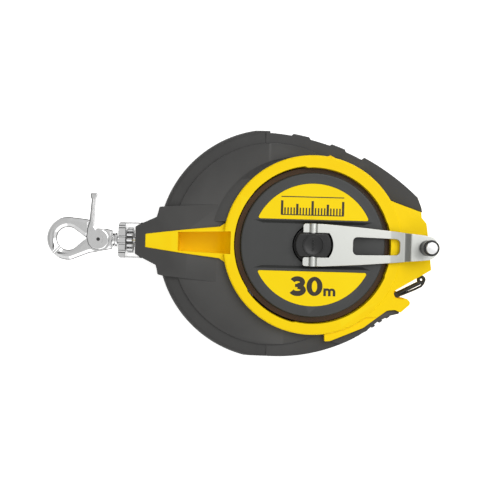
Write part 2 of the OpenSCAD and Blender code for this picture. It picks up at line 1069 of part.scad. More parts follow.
module crank_knob() {
    color([0.12, 0.12, 0.12])
        at_crank()
            translate([crank_len, 0, 0])
                rotate_extrude()
                    polygon([
                        [stud_r + run_gap, knob_z + 0.2], [knob_r - 0.8, knob_z + 0.2],
                        [knob_r - 0.1, knob_z + 1], [knob_r - 0.7, knob_z + knob_l / 2],
                        [knob_r, knob_z + knob_l - 1], [knob_r - 0.5, knob_z + knob_l],
                        [knob_r - 1.1, knob_z + knob_l], [knob_r - 1.1, knob_z + knob_l - 1.5],
                        [stud_r + run_gap, knob_z + knob_l - 1.5]
                    ]);
}

// ---------------------------------------------------------------- blade end

module along_x(x0, x1, r) {
    translate([x0, 0, hook_z])
        rotate([0, 90, 0])
            cylinder(r = r, h = x1 - x0);
}

module end_clamp() {
    color("silver")
    difference() {
        translate([tip_x - 4, -1.5, blade_z])
            cube([3.2, 3, blade_w]);
        translate([tip_x - 5, -blade_t / 2, blade_z - 1])
            cube([8, blade_t, blade_w + 2]);
        clamp_holes(0);
    }
}

module clamp_holes(gap) {
    for (side = [-1, 1])
        translate([tip_x - 2.3, 0, hook_z + side * blade_w / 4])
            rotate([90, 0, 0])
                cylinder(r = 0.8 - gap, h = 6, center = true);
}

module clamp_rivets() {
    color("goldenrod")
        for (side = [-1, 1])
            translate([tip_x - 2.3, 0, hook_z + side * blade_w / 4])
                rotate([90, 0, 0])
                    for (end = [0, 1])
                        mirror([0, 0, end]) {
                            translate([0, 0, blade_t / 2])
                                cylinder(r = 0.8, h = 1.5 - blade_t / 2);
                            translate([0, 0, 1.5])
                                cylinder(r = 1.3, h = 0.5);
                        }
}

module end_claw() {
    color("silver")
    difference() {
        union() {
            translate([claw_x, -claw_half, hook_z - 8])
                cube([2, 2 * claw_half, 16]);
            for (side = [-1, 1])
                translate([claw_x, side * (claw_half - 0.55) - 0.55, hook_z - 7])
                    cube([tip_x + 2.4 - claw_x, 1.1, 14]);
            along_x(claw_x + 1, claw_x + 5.4, swivel_r + 4.4);
        }
        along_x(claw_x - 1, claw_x + 5, swivel_r + run_gap);
        along_x(claw_x + 2, claw_x + 6, swivel_r + 2.6);
    }
}

module end_ferrule() {
    color("silver")
    difference() {
        union() {
            along_x(claw_x + 5.4, tip_x - 4, ferrule_r - 0.6);
            for (a = [0 : 30 : 359])
                translate([claw_x + 5.4, 0, hook_z])
                    rotate([a, 0, 0])
                        translate([0, 0, ferrule_r - 1.2])
                            rotate([0, 90, 0])
                                cylinder(r = 1.2, h = tip_x - 4 - claw_x - 5.4);
        }
        translate([tip_x - 5.5, -blade_t / 2, blade_z - 0.1])
            cube([3, blade_t, blade_w + 0.2]);
    }
}

// ---------------------------------------------------------------- snap hook

module hook_arc(a0, a1) {
    translate([ring_x, 0, hook_z])
        rotate(a0)
            rotate_extrude(angle = a1 - a0)
                translate([hook_r, 0])
                    circle(r = hook_t / 2);
}

// Straight bar between two points of the hook's plane, flat on top and below
module hook_bar(a, b, half) {
    d = b - a;
    side = half * [-d[1], d[0]] / norm(d);
    slab(hook_z - hook_t / 2 + 0.5, hook_z + hook_t / 2 - 0.5)
        polygon([a - side, b - side, b + side, a + side]);
}

function on_hook(a) = [ring_x + hook_r * cos(a), hook_r * sin(a)];

module snap_body() {
    color("silver")
    difference() {
        union() {
            hook_arc(seam_a + 1.5, 304);
            hook_bar(on_hook(302), [rivet_x - 3, -4.6], hook_t / 2 - 0.2);
            translate([rivet_x, 0, 0])
                rod(disc_r + 1, hook_z - hook_t / 2, hook_z + 1);
            slab(hook_z - hook_t / 2, hook_z + 1)
                polygon([
                    [rivet_x - 4, -9], [claw_x - 5.4, -5.9], [claw_x - 5.4, 5.9], [rivet_x + 2, 7.8],
                    [rivet_x - 2, 0]
                ]);
            slab(hook_z - hook_t / 2, hook_z + hook_t / 2)
                polygon([
                    [rivet_x + disc_r + 1.4, -6.3], [claw_x - 4.4, -5.4], [claw_x - 4.4, 5.4],
                    [rivet_x + disc_r + 1.4, 6.3]
                ]);
            along_x(claw_x - 4.6, claw_x - 0.8, 5.7);
            along_x(claw_x - 1, claw_x + 2.3, swivel_r);
            along_x(claw_x + 2.2, claw_x + 4.4, swivel_r + 2);
        }
        translate([rivet_x, 0, 0]) {
            rod(disc_r + free_gap, hook_z + 1, hook_z + 8);
            rod(rivet_r, hook_z - 8, hook_z + 8);
            rod(rivet_r + 2, hook_z - 1.5, hook_z + 2);
        }
        snap_sweep();
    }
}

// Room that the moving jaw and the lever pass through
module snap_sweep() {
    slab(hook_z + 1, hook_z + 8)
        translate([rivet_x, 0])
            polygon([[-12, 0], [-7, 12], [16, 14], [13, 4], [5.5, 3], [0, 0]]);
}

module snap_rivet() {
    color([0.85, 0.85, 0.85])
        translate([rivet_x, 0, 0])
            difference() {
                union() {
                    rod(rivet_r, hook_z - hook_t / 2, hook_z + hook_t / 2 + 0.6);
                    tube(rivet_r + 1.6, rivet_r, hook_z + hook_t / 2 + 0.1, hook_z + hook_t / 2 + 0.8);
                    rod(rivet_r + 1.4, hook_z - hook_t / 2 - 0.6, hook_z - hook_t / 2);
                }
                rod(rivet_r - 0.3, hook_z + hook_t / 2 - 0.6, hook_z + hook_t);
            }
}

module snap_spring() {
    color("silver")
        translate([rivet_x, 0, hook_z - 1.5])
            for (turn = [0 : 1])
                translate([0, 0, 0.6 + turn * 1.2])
                    rotate_extrude()
                        translate([rivet_r + 1.1, 0])
                            circle(r = 0.55);
}

module snap_trigger() {
    color("silver")
    difference() {
        union() {
            hook_arc(56, seam_a - 1.5);
            hook_bar(on_hook(58), [rivet_x - 6.4, 6.3], hook_t / 2 - 0.2);
            translate([rivet_x, 0, 0])
                rod(disc_r, hook_z + 1.1, hook_z + hook_t / 2);
            slab(hook_z + 1.1, hook_z + hook_t / 2)
                polygon([
                    [rivet_x - 6.8, -1], [rivet_x, -1], [rivet_x, 6.9], [rivet_x - 2.2, 7.4],
                    [rivet_x - 3.2, 10], [rivet_x - 2.6, lever_l - 4], [rivet_x - 6.2, lever_l - 4],
                    [rivet_x - 6.4, 12], [rivet_x - 11.5, 9.5], [rivet_x - 11.5, 5], [rivet_x - 8, 3]
                ]);
            slab(hook_z - hook_t / 2 + 0.6, hook_z + hook_t / 2)
                polygon([
                    [rivet_x - 6.4, 13], [rivet_x - 3.1, 11], [rivet_x - 2.6, lever_l - 3],
                    [rivet_x - 1.4, lever_l - 2], [rivet_x - 1.6, lever_l], [rivet_x - 6.2, lever_l],
                    [rivet_x - 6.9, lever_l - 3], [rivet_x - 6.2, lever_l - 6]
                ]);
        }
        translate([rivet_x, 0, 0]) {
            rod(rivet_r + run_gap, hook_z - 1, hook_z + 8);
            rod(disc_r + 1 + free_gap, hook_z - 8, hook_z + 1.1);
        }
        slab(hook_z - 8, hook_z + 1.1)
            translate([rivet_x, 0])
                polygon([[-4, 0], [-4, 9], [40, 40], [40, -20]]);
    }
}

// ---------------------------------------------------------------- lanyard link

module at_link() {
    translate([pin_at[0], pin_at[1], 0])
        rotate(link_a)
            children();
}

link_mid = (link_z[0] + link_z[1]) / 2;

module link_pin() {
    color("silver")
        translate([pin_at[0], pin_at[1], 0]) {
            rod(link_pin_r, 11, link_z[1] + free_gap);
            rod(link_pin_r + 1, link_z[1] + free_gap, link_z[1] + 1.1);
        }
}

module lanyard_link() {
    color([0.08, 0.08, 0.08])
    at_link()
    difference() {
        union() {
            rod(3, link_z[0], link_z[1]);
            translate([0, 0.6 - link_t / 2, link_mid - link_t / 2])
                cube([link_l - 1, link_t, link_t]);
            translate([link_l, 1.9, 0])
                tube(3, 1, link_mid - 1, link_mid + 1);
            translate([1.5, -2.6, link_z[0] + 1])
                cube([5, 3.4, link_z[1] - link_z[0] - 2]);
        }
        rod(link_pin_r + run_gap, link_z[0] - 1, link_z[1] + 1);
        wire_bars(0.8);
    }
}

// Thin wire that returns from the eye to the root
module wire_bars(r) {
    points = [[6, -1.6], [14.5, -2.9], [19.6, -1.6], [link_l + 1.8, 0.4]];
    slab(link_mid - r, link_mid + r)
        for (n = [0 : len(points) - 2]) {
            d = points[n + 1] - points[n];
            side = r * [-d[1], d[0]] / norm(d);
            polygon([points[n] - side, points[n + 1] - side, points[n + 1] + side, points[n] + side]);
            translate(points[n + 1])
                circle(r = r);
        }
}

module link_wire() {
    color([0.1, 0.1, 0.1])
    at_link()
        wire_bars(0.8);
}

rear_shell();
front_shell();
rear_overmould();
front_overmould();
top_grip();
lower_grip();
dial_plate();
upper_label();
lower_label();
case_screws();
drum_axle();
crank_bush();
mouth_guide();
mouth_wiper();
roller_pins();
near_roller();
far_roller();
blade_run();
drum();
drum_front_flange();
drum_bush();
drum_pinion();
pinion_screws();
blade_coil();
crank_gear();
gear_screw();
crank_hub();
hub_cap();
hinge_pins();
crank_arm();
knob_stud();
knob_cap();
crank_knob();
blade_lead();
end_clamp();
clamp_rivets();
end_claw();
end_ferrule();
snap_body();
snap_rivet();
snap_spring();
snap_trigger();
link_pin();
lanyard_link();
link_wire();
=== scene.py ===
"""Looks of the closed-case tape reel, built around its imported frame. Sizes here are in millimetres."""

from math import acos, asin, atan2, cos, degrees, pi, radians, sin, sqrt, tan

import bmesh
import bpy
from mathutils import Matrix, Vector


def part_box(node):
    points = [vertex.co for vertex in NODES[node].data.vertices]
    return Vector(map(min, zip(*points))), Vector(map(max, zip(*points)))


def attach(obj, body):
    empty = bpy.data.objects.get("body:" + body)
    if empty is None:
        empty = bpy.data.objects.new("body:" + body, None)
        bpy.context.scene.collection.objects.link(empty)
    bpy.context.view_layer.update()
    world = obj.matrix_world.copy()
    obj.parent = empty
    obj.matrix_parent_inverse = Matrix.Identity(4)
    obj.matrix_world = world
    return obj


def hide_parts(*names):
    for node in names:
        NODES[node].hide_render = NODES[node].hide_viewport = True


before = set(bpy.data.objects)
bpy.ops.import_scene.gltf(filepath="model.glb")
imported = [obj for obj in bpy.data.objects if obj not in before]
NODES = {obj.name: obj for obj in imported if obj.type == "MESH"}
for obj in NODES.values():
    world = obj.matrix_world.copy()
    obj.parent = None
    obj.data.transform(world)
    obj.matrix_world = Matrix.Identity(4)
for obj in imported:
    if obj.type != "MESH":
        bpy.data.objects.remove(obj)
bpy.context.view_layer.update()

MM = 0.001


def node_box(name):
    """Lowest and highest corner of a node, in millimetres."""
    low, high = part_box(name)
    return low / MM, high / MM


# ------ sizes, read from the frame or named

# The crank's axis, the charcoal disc's radius and the nose's end.
CRANK = Vector((node_box("crank_bush")[0].x + node_box("crank_bush")[1].x, 0, 0)) / 2
CASE_R = 74.5
TIP_X = -88.5

# Heights: parting line, charcoal face and the band round it, then the yellow ring, right end and left arm.
PART_Z = node_box("rear_overmould")[1].z
FACE_Z = node_box("front_overmould")[1].z - 1
BAND_Z = FACE_Z - 1.3
RING_Z = node_box("front_shell")[1].z
BODY_Z = RING_Z - 2
ARM_Z = RING_Z - 4
SKY_Z = 60  # above all that the tools cut

# Radii round the crank, from the ring's outside in, and half the width of the channel across the dial.
RING_R = 57.3
WELL_R = 49.8
DIAL_R = node_box("dial_plate")[1].x - CRANK.x - 3.6
LABEL_R = node_box("upper_label")[1].y
CHANNEL = 14.8

# Height of the crank's hinge, and the distance from the crank's axis to the knob's.
HINGE_Z = 44.0
ARM_LENGTH = 71.0

# Height of the blade and hook, and along X the claw's outer end, the trigger's rivet and the hook's ring.
HOOK_Z = 12.0
CLAW_X = TIP_X - 13.4
RIVET_X = TIP_X - 27.4
RING_X = TIP_X - 47.8
SEAM = 227  # degrees round the hook's ring, where the two jaws meet

# Height from the hook's middle and inset, going up the rounded edge of both jaws.
JAW_EDGE = [(1.7, 0), (2.1, 0.45), (2.3, 0.95), (2.38, 1.2), (2.75, 2.0), (2.85, 2.3)]

# Faces of a box whose corners go round its foot and then, in the same order, round its top.
BOX_FACES = [(3, 2, 1, 0), (4, 5, 6, 7), (0, 1, 5, 4), (1, 2, 6, 5), (2, 3, 7, 6), (3, 0, 4, 7)]


# ------ mesh helpers


def oval(centre, rx, ry, start, end, steps=24):
    """Points along part of an ellipse, angles in degrees."""
    turns = [radians(start + (end - start) * i / steps) for i in range(steps + 1)]
    return [(centre[0] + rx * cos(t), centre[1] + ry * sin(t)) for t in turns]


def arc(centre, radius, start, end, steps):
    """Points along an arc, angles in degrees."""
    return oval(centre, radius, radius, start, end, steps)


def circle_through(a, b, c):
    """Centre and radius of the circle through three points."""
    u, v = b - a, c - a
    k = 2 * (u.x * v.y - u.y * v.x)
    m = Vector((v.y * u.dot(u) - u.y * v.dot(v), u.x * v.dot(v) - v.x * u.dot(u))) / k
    return a + m, m.length


def arc_through(a, b, c, steps):
    """Points along the arc from a through b to c."""
    a, b, c = (Vector(p) for p in (a, b, c))
    centre, radius = circle_through(a, b, c)
    start = atan2(a.y - centre.y, a.x - centre.x)
    end = atan2(c.y - centre.y, c.x - centre.x)
    middle = atan2(b.y - centre.y, b.x - centre.x)
    turn = (end - start) % (2 * pi)
    if (middle - start) % (2 * pi) > turn:
        turn -= 2 * pi
    start, turn = degrees(start), degrees(turn)
    return arc(centre, radius, start, start + turn, steps)


def rounded(points, radius, steps=5):
    """The outline with each corner rounded. radius is one number, or one for each corner."""
    out = []
    count = len(points)
    for i, p in enumerate(points):
        r = radius[i] if isinstance(radius, (list, tuple)) else radius
        a, b, c = (Vector(points[(i + k) % count]) for k in (-1, 0, 1))
        u, v = (a - b).normalized(), (c - b).normalized()
        half = acos(max(-1, min(1, u.dot(v)))) / 2
        if r <= 0 or half > radians(87):
            out.append(tuple(b))
            continue
        back = min(r / tan(half), 0.45 * (a - b).length, 0.45 * (c - b).length)
        r = back * tan(half)
        centre = b + (u + v).normalized() * r / sin(half)
        p0, p1 = b + u * back, b + v * back
        s = atan2(p0.y - centre.y, p0.x - centre.x)
        turn = (atan2(p1.y - centre.y, p1.x - centre.x) - s + pi) % (2 * pi)
        turn -= pi
        out += arc(centre, r, degrees(s), degrees(s + turn), steps)
    return out


def build(name, verts, faces):
    """A mesh object from points in millimetres."""
    mesh = bpy.data.meshes.new(name)
    mesh.from_pydata([Vector(v) * MM for v in verts], [], faces)
    mesh.update()
    obj = bpy.data.objects.new(name, mesh)
    bpy.context.scene.collection.objects.link(obj)
    bm = bmesh.new()
    bm.from_mesh(mesh)
    bmesh.ops.remove_doubles(bm, verts=bm.verts, dist=1e-6)
    bmesh.ops.recalc_face_normals(bm, faces=bm.faces)
    bm.to_mesh(mesh)
    bm.free()
    return obj


def prism(name, outline, z0, z1):
    """The outline extruded from z0 to z1."""
    n = len(outline)
    verts = [(x, y, z0) for x, y in outline] + [(x, y, z1) for x, y in outline]
    faces = [tuple(reversed(range(n))), tuple(range(n, 2 * n))]
    faces += [(i, (i + 1) % n, n + (i + 1) % n, n + i) for i in range(n)]
    return build(name, verts, faces)


def side_prism(name, outline, y0, y1):
    """An outline in X and Z extruded from y0 to y1."""
    n = len(outline)
    verts = [(x, y0, z) for x, z in outline] + [(x, y1, z) for x, z in outline]
    faces = [tuple(range(n)), tuple(reversed(range(n, 2 * n)))]
    faces += [((i + 1) % n, i, n + i, n + (i + 1) % n) for i in range(n)]
    return build(name, verts, faces)


def lathe(name, profile, centre=(0, 0), steps=144, axis="Z"):
    """A closed or axis-to-axis profile of (radius, height) turned about an axis through centre."""
    verts, faces = [], []
    n = len(profile)
    for s in range(steps):
        a = 2 * pi * s / steps
        for r, h in profile:
            if axis == "Z":
                verts.append((centre[0] + r * cos(a), centre[1] + r * sin(a), h))
            else:
                verts.append((h, centre[0] + r * cos(a), centre[1] + r * sin(a)))
    closed = profile[0][0] > 0 or profile[-1][0] > 0
    for s in range(steps):
        t = (s + 1) % steps
        for i in range(n if closed else n - 1):
            j = (i + 1) % n
            if profile[i][0] > 0 or profile[j][0] > 0:
                faces.append((s * n + i, t * n + i, t * n + j, s * n + j))
    obj = build(name, verts, faces)
    bm = bmesh.new()
    bm.from_mesh(obj.data)
    bmesh.ops.dissolve_degenerate(bm, dist=1e-7, edges=bm.edges)
    bmesh.ops.delete(bm, geom=[v for v in bm.verts if not v.link_faces], context="VERTS")
    bmesh.ops.recalc_face_normals(bm, faces=bm.faces)
    bm.to_mesh(obj.data)
    bm.free()
    return obj


def fillet(r, z, size, start, end, steps=5):
    """Profile points of a rounded edge, as a quarter circle about (r, z)."""
    return arc((r, z), size, start, end, steps)


def apply_modifiers(obj):
    """Bakes the object's modifiers into its mesh."""
    bpy.context.view_layer.update()
    graph = bpy.context.evaluated_depsgraph_get()
    mesh = bpy.data.meshes.new_from_object(obj.evaluated_get(graph))
    obj.modifiers.clear()
    obj.data = mesh
    return obj


def combine(obj, operation, *others):
    """Applies one boolean to obj for each of the others, and deletes them."""
    for other in others:
        m = obj.modifiers.new("combine", "BOOLEAN")
        m.operation = operation
        m.solver = "EXACT"
        m.object = other
        apply_modifiers(obj)
        bpy.data.objects.remove(other)
    return obj


def cut(obj, *others):
    """Takes the others away from obj."""
    return combine(obj, "DIFFERENCE", *others)


def unite(obj, *others):
    """Makes one solid of obj and the others."""
    return combine(obj, "UNION", *others)


def keep(obj, *others):
    """Keeps what obj shares with each of the others."""
    return combine(obj, "INTERSECT", *others)


def join(obj, *others):
    """Puts the others' faces in obj's mesh as they are."""
    bm = bmesh.new()
    bm.from_mesh(obj.data)
    for other in others:
        bm.from_mesh(other.data)
        bpy.data.objects.remove(other)
    bm.to_mesh(obj.data)
    bm.free()
    return obj


def clean(obj, angle=0.4):
    """Merges doubled points, and the faces that cutting splits and that lie within angle degrees."""
    bm = bmesh.new()
    bm.from_mesh(obj.data)
    bmesh.ops.remove_doubles(bm, verts=bm.verts, dist=4e-6)
    bmesh.ops.dissolve_limit(
        bm, angle_limit=radians(angle), verts=bm.verts, edges=bm.edges,
        use_dissolve_boundaries=False,
    )
    bm.to_mesh(obj.data)
    bm.free()
    return obj


def bevel(obj, width, segments, angle):
    """Adds a bevel, in millimetres, to the edges that turn more than angle degrees."""
    m = obj.modifiers.new("edges", "BEVEL")
    m.width = width * MM
    m.segments = segments
    m.limit_method = "ANGLE"
    m.angle_limit = radians(angle)
    m.use_clamp_overlap = True
    return m


def soften(obj, width, segments=3, angle=30, sharp=38):
    """Rounds the hard edges and smooths the rest."""
    clean(obj)
    bevel(obj, width, segments, angle).miter_outer = "MITER_ARC"
    apply_modifiers(obj)
    return smooth(obj, sharp)


def break_edges(obj, width):
    """Takes the sharpness off the edges of a piece that was cut out of several others."""
    clean(obj, 0.2)
    bevel(obj, width, 2, 40)
    apply_modifiers(obj)
    return smooth(obj, 32)


def smooth(obj, sharp=38):
    """Shades obj smooth, apart from the edges that turn more than sharp degrees."""
    obj.data.shade_smooth()
    obj.data.set_sharp_from_angle(angle=radians(sharp))
    return obj


def weigh(obj):
    """Keeps flat faces flat beside their rounded edges."""
    m = obj.modifiers.new("normals", "WEIGHTED_NORMAL")
    m.keep_sharp = True
    m.weight = 80
    return obj


def dress_node(name, material, width=0.25, segments=2, angle=32):
    """A CAD node that shows as it is, with rounded edges and a material."""
    obj = NODES[name]
    obj.data.materials.clear()
    obj.data.materials.append(material)
    m = obj.modifiers.new("flat", "DECIMATE")
    m.decimate_type = "DISSOLVE"
    m.angle_limit = radians(0.5)
    if width:
        bevel(obj, width, segments, angle)
    obj.data.shade_smooth()
    m = obj.modifiers.new("normals", "WEIGHTED_NORMAL")
    m.keep_sharp = False
    m.weight = 90
    return obj


def place(obj, body, material, slot, *replaced):
    """Gives a finished piece its material, its body and the nodes it stands for."""
    weigh(obj)
    obj.data.materials.clear()
    obj.data.materials.append(material)
    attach(obj, body)
    if replaced:
        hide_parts(*replaced)
    return obj


# ------ materials


class Shader:
    """A small helper that strings shader nodes together."""

    def __init__(self, name):
        self.material = bpy.data.materials.new(name)
        self.material.use_nodes = True
        self.tree = self.material.node_tree
        self.bsdf = self.tree.nodes["Principled BSDF"]
        self.coords = self.node("ShaderNodeTexCoord").outputs["Object"]

    def node(self, kind, **settings):
        n = self.tree.nodes.new(kind)
        for key, value in settings.items():
            setattr(n, key, value)
        return n

    def link(self, a, b):
        self.tree.links.new(a, b)

    def noise(self, scale, detail, roughness, stretch=None):
        """Noise in the object's own coordinates, scaled along each axis by stretch."""
        n = self.node("ShaderNodeTexNoise")
        n.inputs["Scale"].default_value = scale
        n.inputs["Detail"].default_value = detail
        n.inputs["Roughness"].default_value = roughness
        source = self.coords
        if stretch:
            m = self.node("ShaderNodeMapping")
            m.inputs["Scale"].default_value = stretch
            self.link(self.coords, m.inputs["Vector"])
            source = m.outputs["Vector"]
        self.link(source, n.inputs["Vector"])
        return n.outputs["Fac"]

    def ramp(self, source, stops):
        """A colour from source, through stops of (position, colour)."""
        n = self.node("ShaderNodeValToRGB")
        while len(n.color_ramp.elements) < len(stops):
            n.color_ramp.elements.new(0.5)
        for element, (position, colour) in zip(n.color_ramp.elements, stops):
            element.position = position
            element.color = (*colour, 1)
        self.link(source, n.inputs["Fac"])
        return n.outputs["Color"]

    def mix(self, factor, a, b):
        """Colour a, turning to b as factor rises. Each of the three is a value or another node's output."""
        n = self.node("ShaderNodeMix", data_type="RGBA")
        for value, socket in ((factor, n.inputs[0]), (a, n.inputs[6]), (b, n.inputs[7])):
            if isinstance(value, (int, float)):
                socket.default_value = value
            elif isinstance(value, tuple):
                socket.default_value = (*value, 1)
            else:
                self.link(value, socket)
        return n.outputs[2]

    def remap(self, source, low, high, from_low=0.0, from_high=1.0):
        """source, which runs from from_low to from_high, as a value from low to high."""
        n = self.node("ShaderNodeMapRange")
        n.inputs["From Min"].default_value = from_low
        n.inputs["From Max"].default_value = from_high
        n.inputs["To Min"].default_value = low
        n.inputs["To Max"].default_value = high
        self.link(source, n.inputs["Value"])
        return n.outputs["Result"]

    def bump(self, heights):
        """heights is a list of (source, strength, distance in millimetres)."""
        normal = None
        for source, strength, distance in heights:
            n = self.node("ShaderNodeBump")
            n.inputs["Strength"].default_value = strength
            n.inputs["Distance"].default_value = distance * MM
            self.link(source, n.inputs["Height"])
            if normal:
                self.link(normal, n.inputs["Normal"])
            normal = n.outputs["Normal"]
        self.link(normal, self.bsdf.inputs["Normal"])

    def edges(self, low=0.52, high=0.6):
        """1 on outer edges, 0 elsewhere, from how pointed the mesh is."""
        geometry = self.node("ShaderNodeNewGeometry")
        return self.remap(geometry.outputs["Pointiness"], 0.0, 1.0, low, high)

    def set(self, **values):
        """Sets the shader's own sockets, with _ for each space in a name."""
        for key, value in values.items():
            socket = self.bsdf.inputs[key.replace("_", " ")]
            if isinstance(value, tuple):
                socket.default_value = (*value, 1) if len(value) == 3 else value
            else:
                socket.default_value = value
        return self


def moulded(name, base, lift, roughness, grain=0.35, spread=0.08, edge=0.35, sheen=0.0, gloss=0.4):
    """Moulded plastic or rubber: fine grain, faint flow marks and paler edges, which are a painted
    highlight.
    """
    s = Shader(name)
    s.set(Specular_IOR_Level=gloss)
    patches = s.noise(38, 4, 0.6)
    shade = s.ramp(patches, [(0.3, base), (0.7, lift)])
    # Painted highlight: the colour turns paler on outer edges, standing in for light caught by the rounded
    # edges; the edge argument sets how much.
    edge_highlight = s.mix(s.remap(s.edges(), 0.0, edge), shade, tuple(min(1, c * 1.5 + 0.03) for c in lift))
    s.link(edge_highlight, s.bsdf.inputs["Base Color"])
    fine = s.noise(2600, 2, 0.6)
    flow = s.noise(120, 3, 0.5)
    s.link(s.remap(flow, roughness - spread, roughness + spread), s.bsdf.inputs["Roughness"])
    s.bump([(fine, grain, 0.03), (flow, 0.1, 0.05)])
    if sheen:
        s.set(Sheen_Weight=sheen, Sheen_Roughness=0.6)
    return s.material


def metal(
    name, base, dark, roughness, stretch=(1, 1, 1), scale=900, spread=0.05, strength=0.2, shade_band=None
):
    """Bare metal with fine marks along one way.

    The last argument gives four places along X, in metres, where a darker band of painted shade begins, is
    full, fades and ends.
    """
    s = Shader(name)
    s.set(Metallic=1.0)
    lines = s.noise(scale, 4, 0.65, stretch)
    blotch = s.noise(55, 3, 0.5)
    shade = s.mix(0.5, s.ramp(lines, [(0.25, dark), (0.75, base)]), base)
    colour = s.mix(s.remap(blotch, 0.0, 0.25), shade, dark)
    if shade_band:
        split = s.node("ShaderNodeSeparateXYZ")
        s.link(s.coords, split.inputs[0])
        rise = s.remap(split.outputs["X"], 0.0, 1.0, shade_band[0], shade_band[1])
        fade = s.remap(split.outputs["X"], 1.0, 0.0, shade_band[2], shade_band[3])
        both = s.node("ShaderNodeMath", operation="MULTIPLY")
        s.link(rise, both.inputs[0])
        s.link(fade, both.inputs[1])
        # Painted shade: the colour darkens in the band where the arm's bend faces away from the light.
        colour = s.mix(both.outputs[0], colour, tuple(c * 0.72 for c in base))
    s.link(colour, s.bsdf.inputs["Base Color"])
    s.link(s.remap(blotch, roughness - spread, roughness + spread), s.bsdf.inputs["Roughness"])
    s.bump([(lines, strength, 0.01)])
    return s.material


YELLOW = moulded("yellow_abs", (0.98, 0.66, 0.0), (1.0, 0.7, 0.0), 0.5, 0.2, 0.05, 0.12, gloss=0.14)
LABEL = moulded("label_yellow", (0.98, 0.7, 0.002), (1.0, 0.73, 0.004), 0.34, 0.05, 0.03, 0.0, gloss=0.14)
RUBBER = moulded("charcoal_rubber", (0.043, 0.042, 0.041), (0.05, 0.049, 0.047), 0.62, 0.5, 0.07, 0.5)
DIAL = moulded("dial_plastic", (0.043, 0.044, 0.043), (0.048, 0.049, 0.048), 0.42, 0.15, 0.05, 0.3)
# Brown of the yellow ring's wall in shadow: painted shade, laid on the groove's floor.
GROOVE_SHADE = moulded("groove_painted_shade", (0.08, 0.036, 0.008), (0.1, 0.045, 0.01), 0.2, 0.05, 0.04, 0.0)
BLACK = moulded("black_plastic", (0.013, 0.013, 0.013), (0.02, 0.02, 0.02), 0.34, 0.12, 0.06, 0.4)
INK = moulded("ink_print", (0.03, 0.022, 0.01), (0.04, 0.03, 0.014), 0.5, 0.1, 0.03, 0.0)
WIRE = moulded("wire_coating", (0.012, 0.012, 0.012), (0.02, 0.02, 0.02), 0.28, 0.1, 0.05, 0.3)
NYLON = moulded("white_nylon", (0.72, 0.71, 0.68), (0.78, 0.77, 0.74), 0.45, 0.1, 0.04, 0.1)
FELT = moulded("felt", (0.03, 0.03, 0.03), (0.06, 0.06, 0.06), 0.95, 1.0, 0.04, 0.0, 0.4)
# The start of the arm's bend, which faces away from the light; the metal is painted darker there as painted
# shade.
ARM_BEND_SHADE = [(CRANK.x + x) * MM for x in (48.5, 49.5, 57.0, 57.6)]
ARM = metal(
    "brushed_aluminium", (0.68, 0.69, 0.655), (0.57, 0.58, 0.55), 0.42, (1, 14, 1), 420, shade_band=ARM_BEND_SHADE
)
CHROME = metal("chrome", (0.86, 0.86, 0.86), (0.74, 0.74, 0.74), 0.1, (1, 1, 1), 500, 0.03, 0.06)
STEEL = metal("steel", (0.62, 0.62, 0.62), (0.45, 0.45, 0.45), 0.3, (1, 1, 6), 700)
BRASS = metal("brass", (0.78, 0.56, 0.25), (0.6, 0.4, 0.16), 0.3, (1, 1, 6), 700)
KNOB_CAP = metal("satin_cap", (0.92, 0.92, 0.91), (0.8, 0.8, 0.8), 0.3, (1, 1, 1), 900)

# ------ outlines of the case

STEP_X = -3.5  # where the disc ends and the top grip's face begins
FACE_EDGE_X = 6.9  # where the disc ends and the lower grip's face begins
TOP_ARC = [(STEP_X, 71.6), (45, 60.7), (93.9, 28.3)]  # three points of the top edge
BELLY_ARC = [(0, -72.4), (30, -68.9), (54, -59.4)]  # three points of the lower edge


def top_line(grow, x0, x1, steps=20):
    """Points of the top edge from x0 to x1, moved out by grow."""
    centre, radius = circle_through(*(Vector(p) for p in TOP_ARC))
    radius += grow
    return [
        (x, centre.y + sqrt(radius**2 - (x - centre.x) ** 2))
        for x in (x0 + (x1 - x0) * i / steps for i in range(steps + 1))
    ]


# Plan of the charcoal nose, from the disc out to its end and back.
NOSE = [
    (-28, 25.3), (-73.4, 21.9), (-74.2, 18.4), (-75.1, 15.3), (TIP_X + 2, 10), (TIP_X, 8.7),
    (TIP_X, -8.7), (TIP_X + 2, -10), (-75.0, -15.6), (-74.2, -18.4), (-73.6, -21.6), (-70.7, -22.3),
    (-28, -26.3),
]

# Plan of the yellow right end, with the notch for the clip, and each corner's rounding.
FACE = [
    (34.5, -61.3), (38, -61), (59, -52), (66, -46.5), (74, -40.5), (79, -40), (82.6, -41.6),
    (89.2, -35.6), (86.3, -32.4), (83.6, -33.2), (78.8, -32.6), (77.5, -28.3), (101.4, -14.0),
    (100.8, -9.2), (98.6, 8.7), (97.6, 15.6), (94.5, 19.3), (94.2, 22.8), (73, 30.1),
    (66.2, 39.1), (53.6, 48.5), (35, 57.5), (31.2, 56.2),
]
FACE_R = [0.5, 1, 4, 6, 5, 2, 0.6, 2.2, 2, 3, 3, 2, 0.8, 1, 2, 1.2, 0.6, 0.4, 1.2, 12, 10, 0.5, 0.3]


def disc_profile():
    """Half section of the charcoal disc, from its face at the middle out to its wall."""
    r = CASE_R
    return (
        [(0, FACE_Z), (64.4, FACE_Z)]
        + fillet(64.4, FACE_Z - 0.5, 0.5, 75, 0, 3)
        + [(64.95, BAND_Z), (r - 4.2, BAND_Z - 0.7)]
        + fillet(r - 4.2, BAND_Z - 4.9, 4.2, 80, 0, 7)
        + [(r, PART_Z + 0.35), (r - 0.35, PART_Z), (0, PART_Z)]
    )


def block(name, x0, x1, y0, y1, z0=0, z1=SKY_Z):
    """A plain box, to cut or to print with."""
    return prism(name, [(x0, y0), (x1, y0), (x1, y1), (x0, y1)], z0, z1)


def well_tool():
    """The round room that the ring and the dial take up in the rubber."""
    r = RING_R - 3
    return lathe("well", [(0, 10), (r, 10), (r, SKY_Z), (0, SKY_Z)], CRANK.xy, 120)


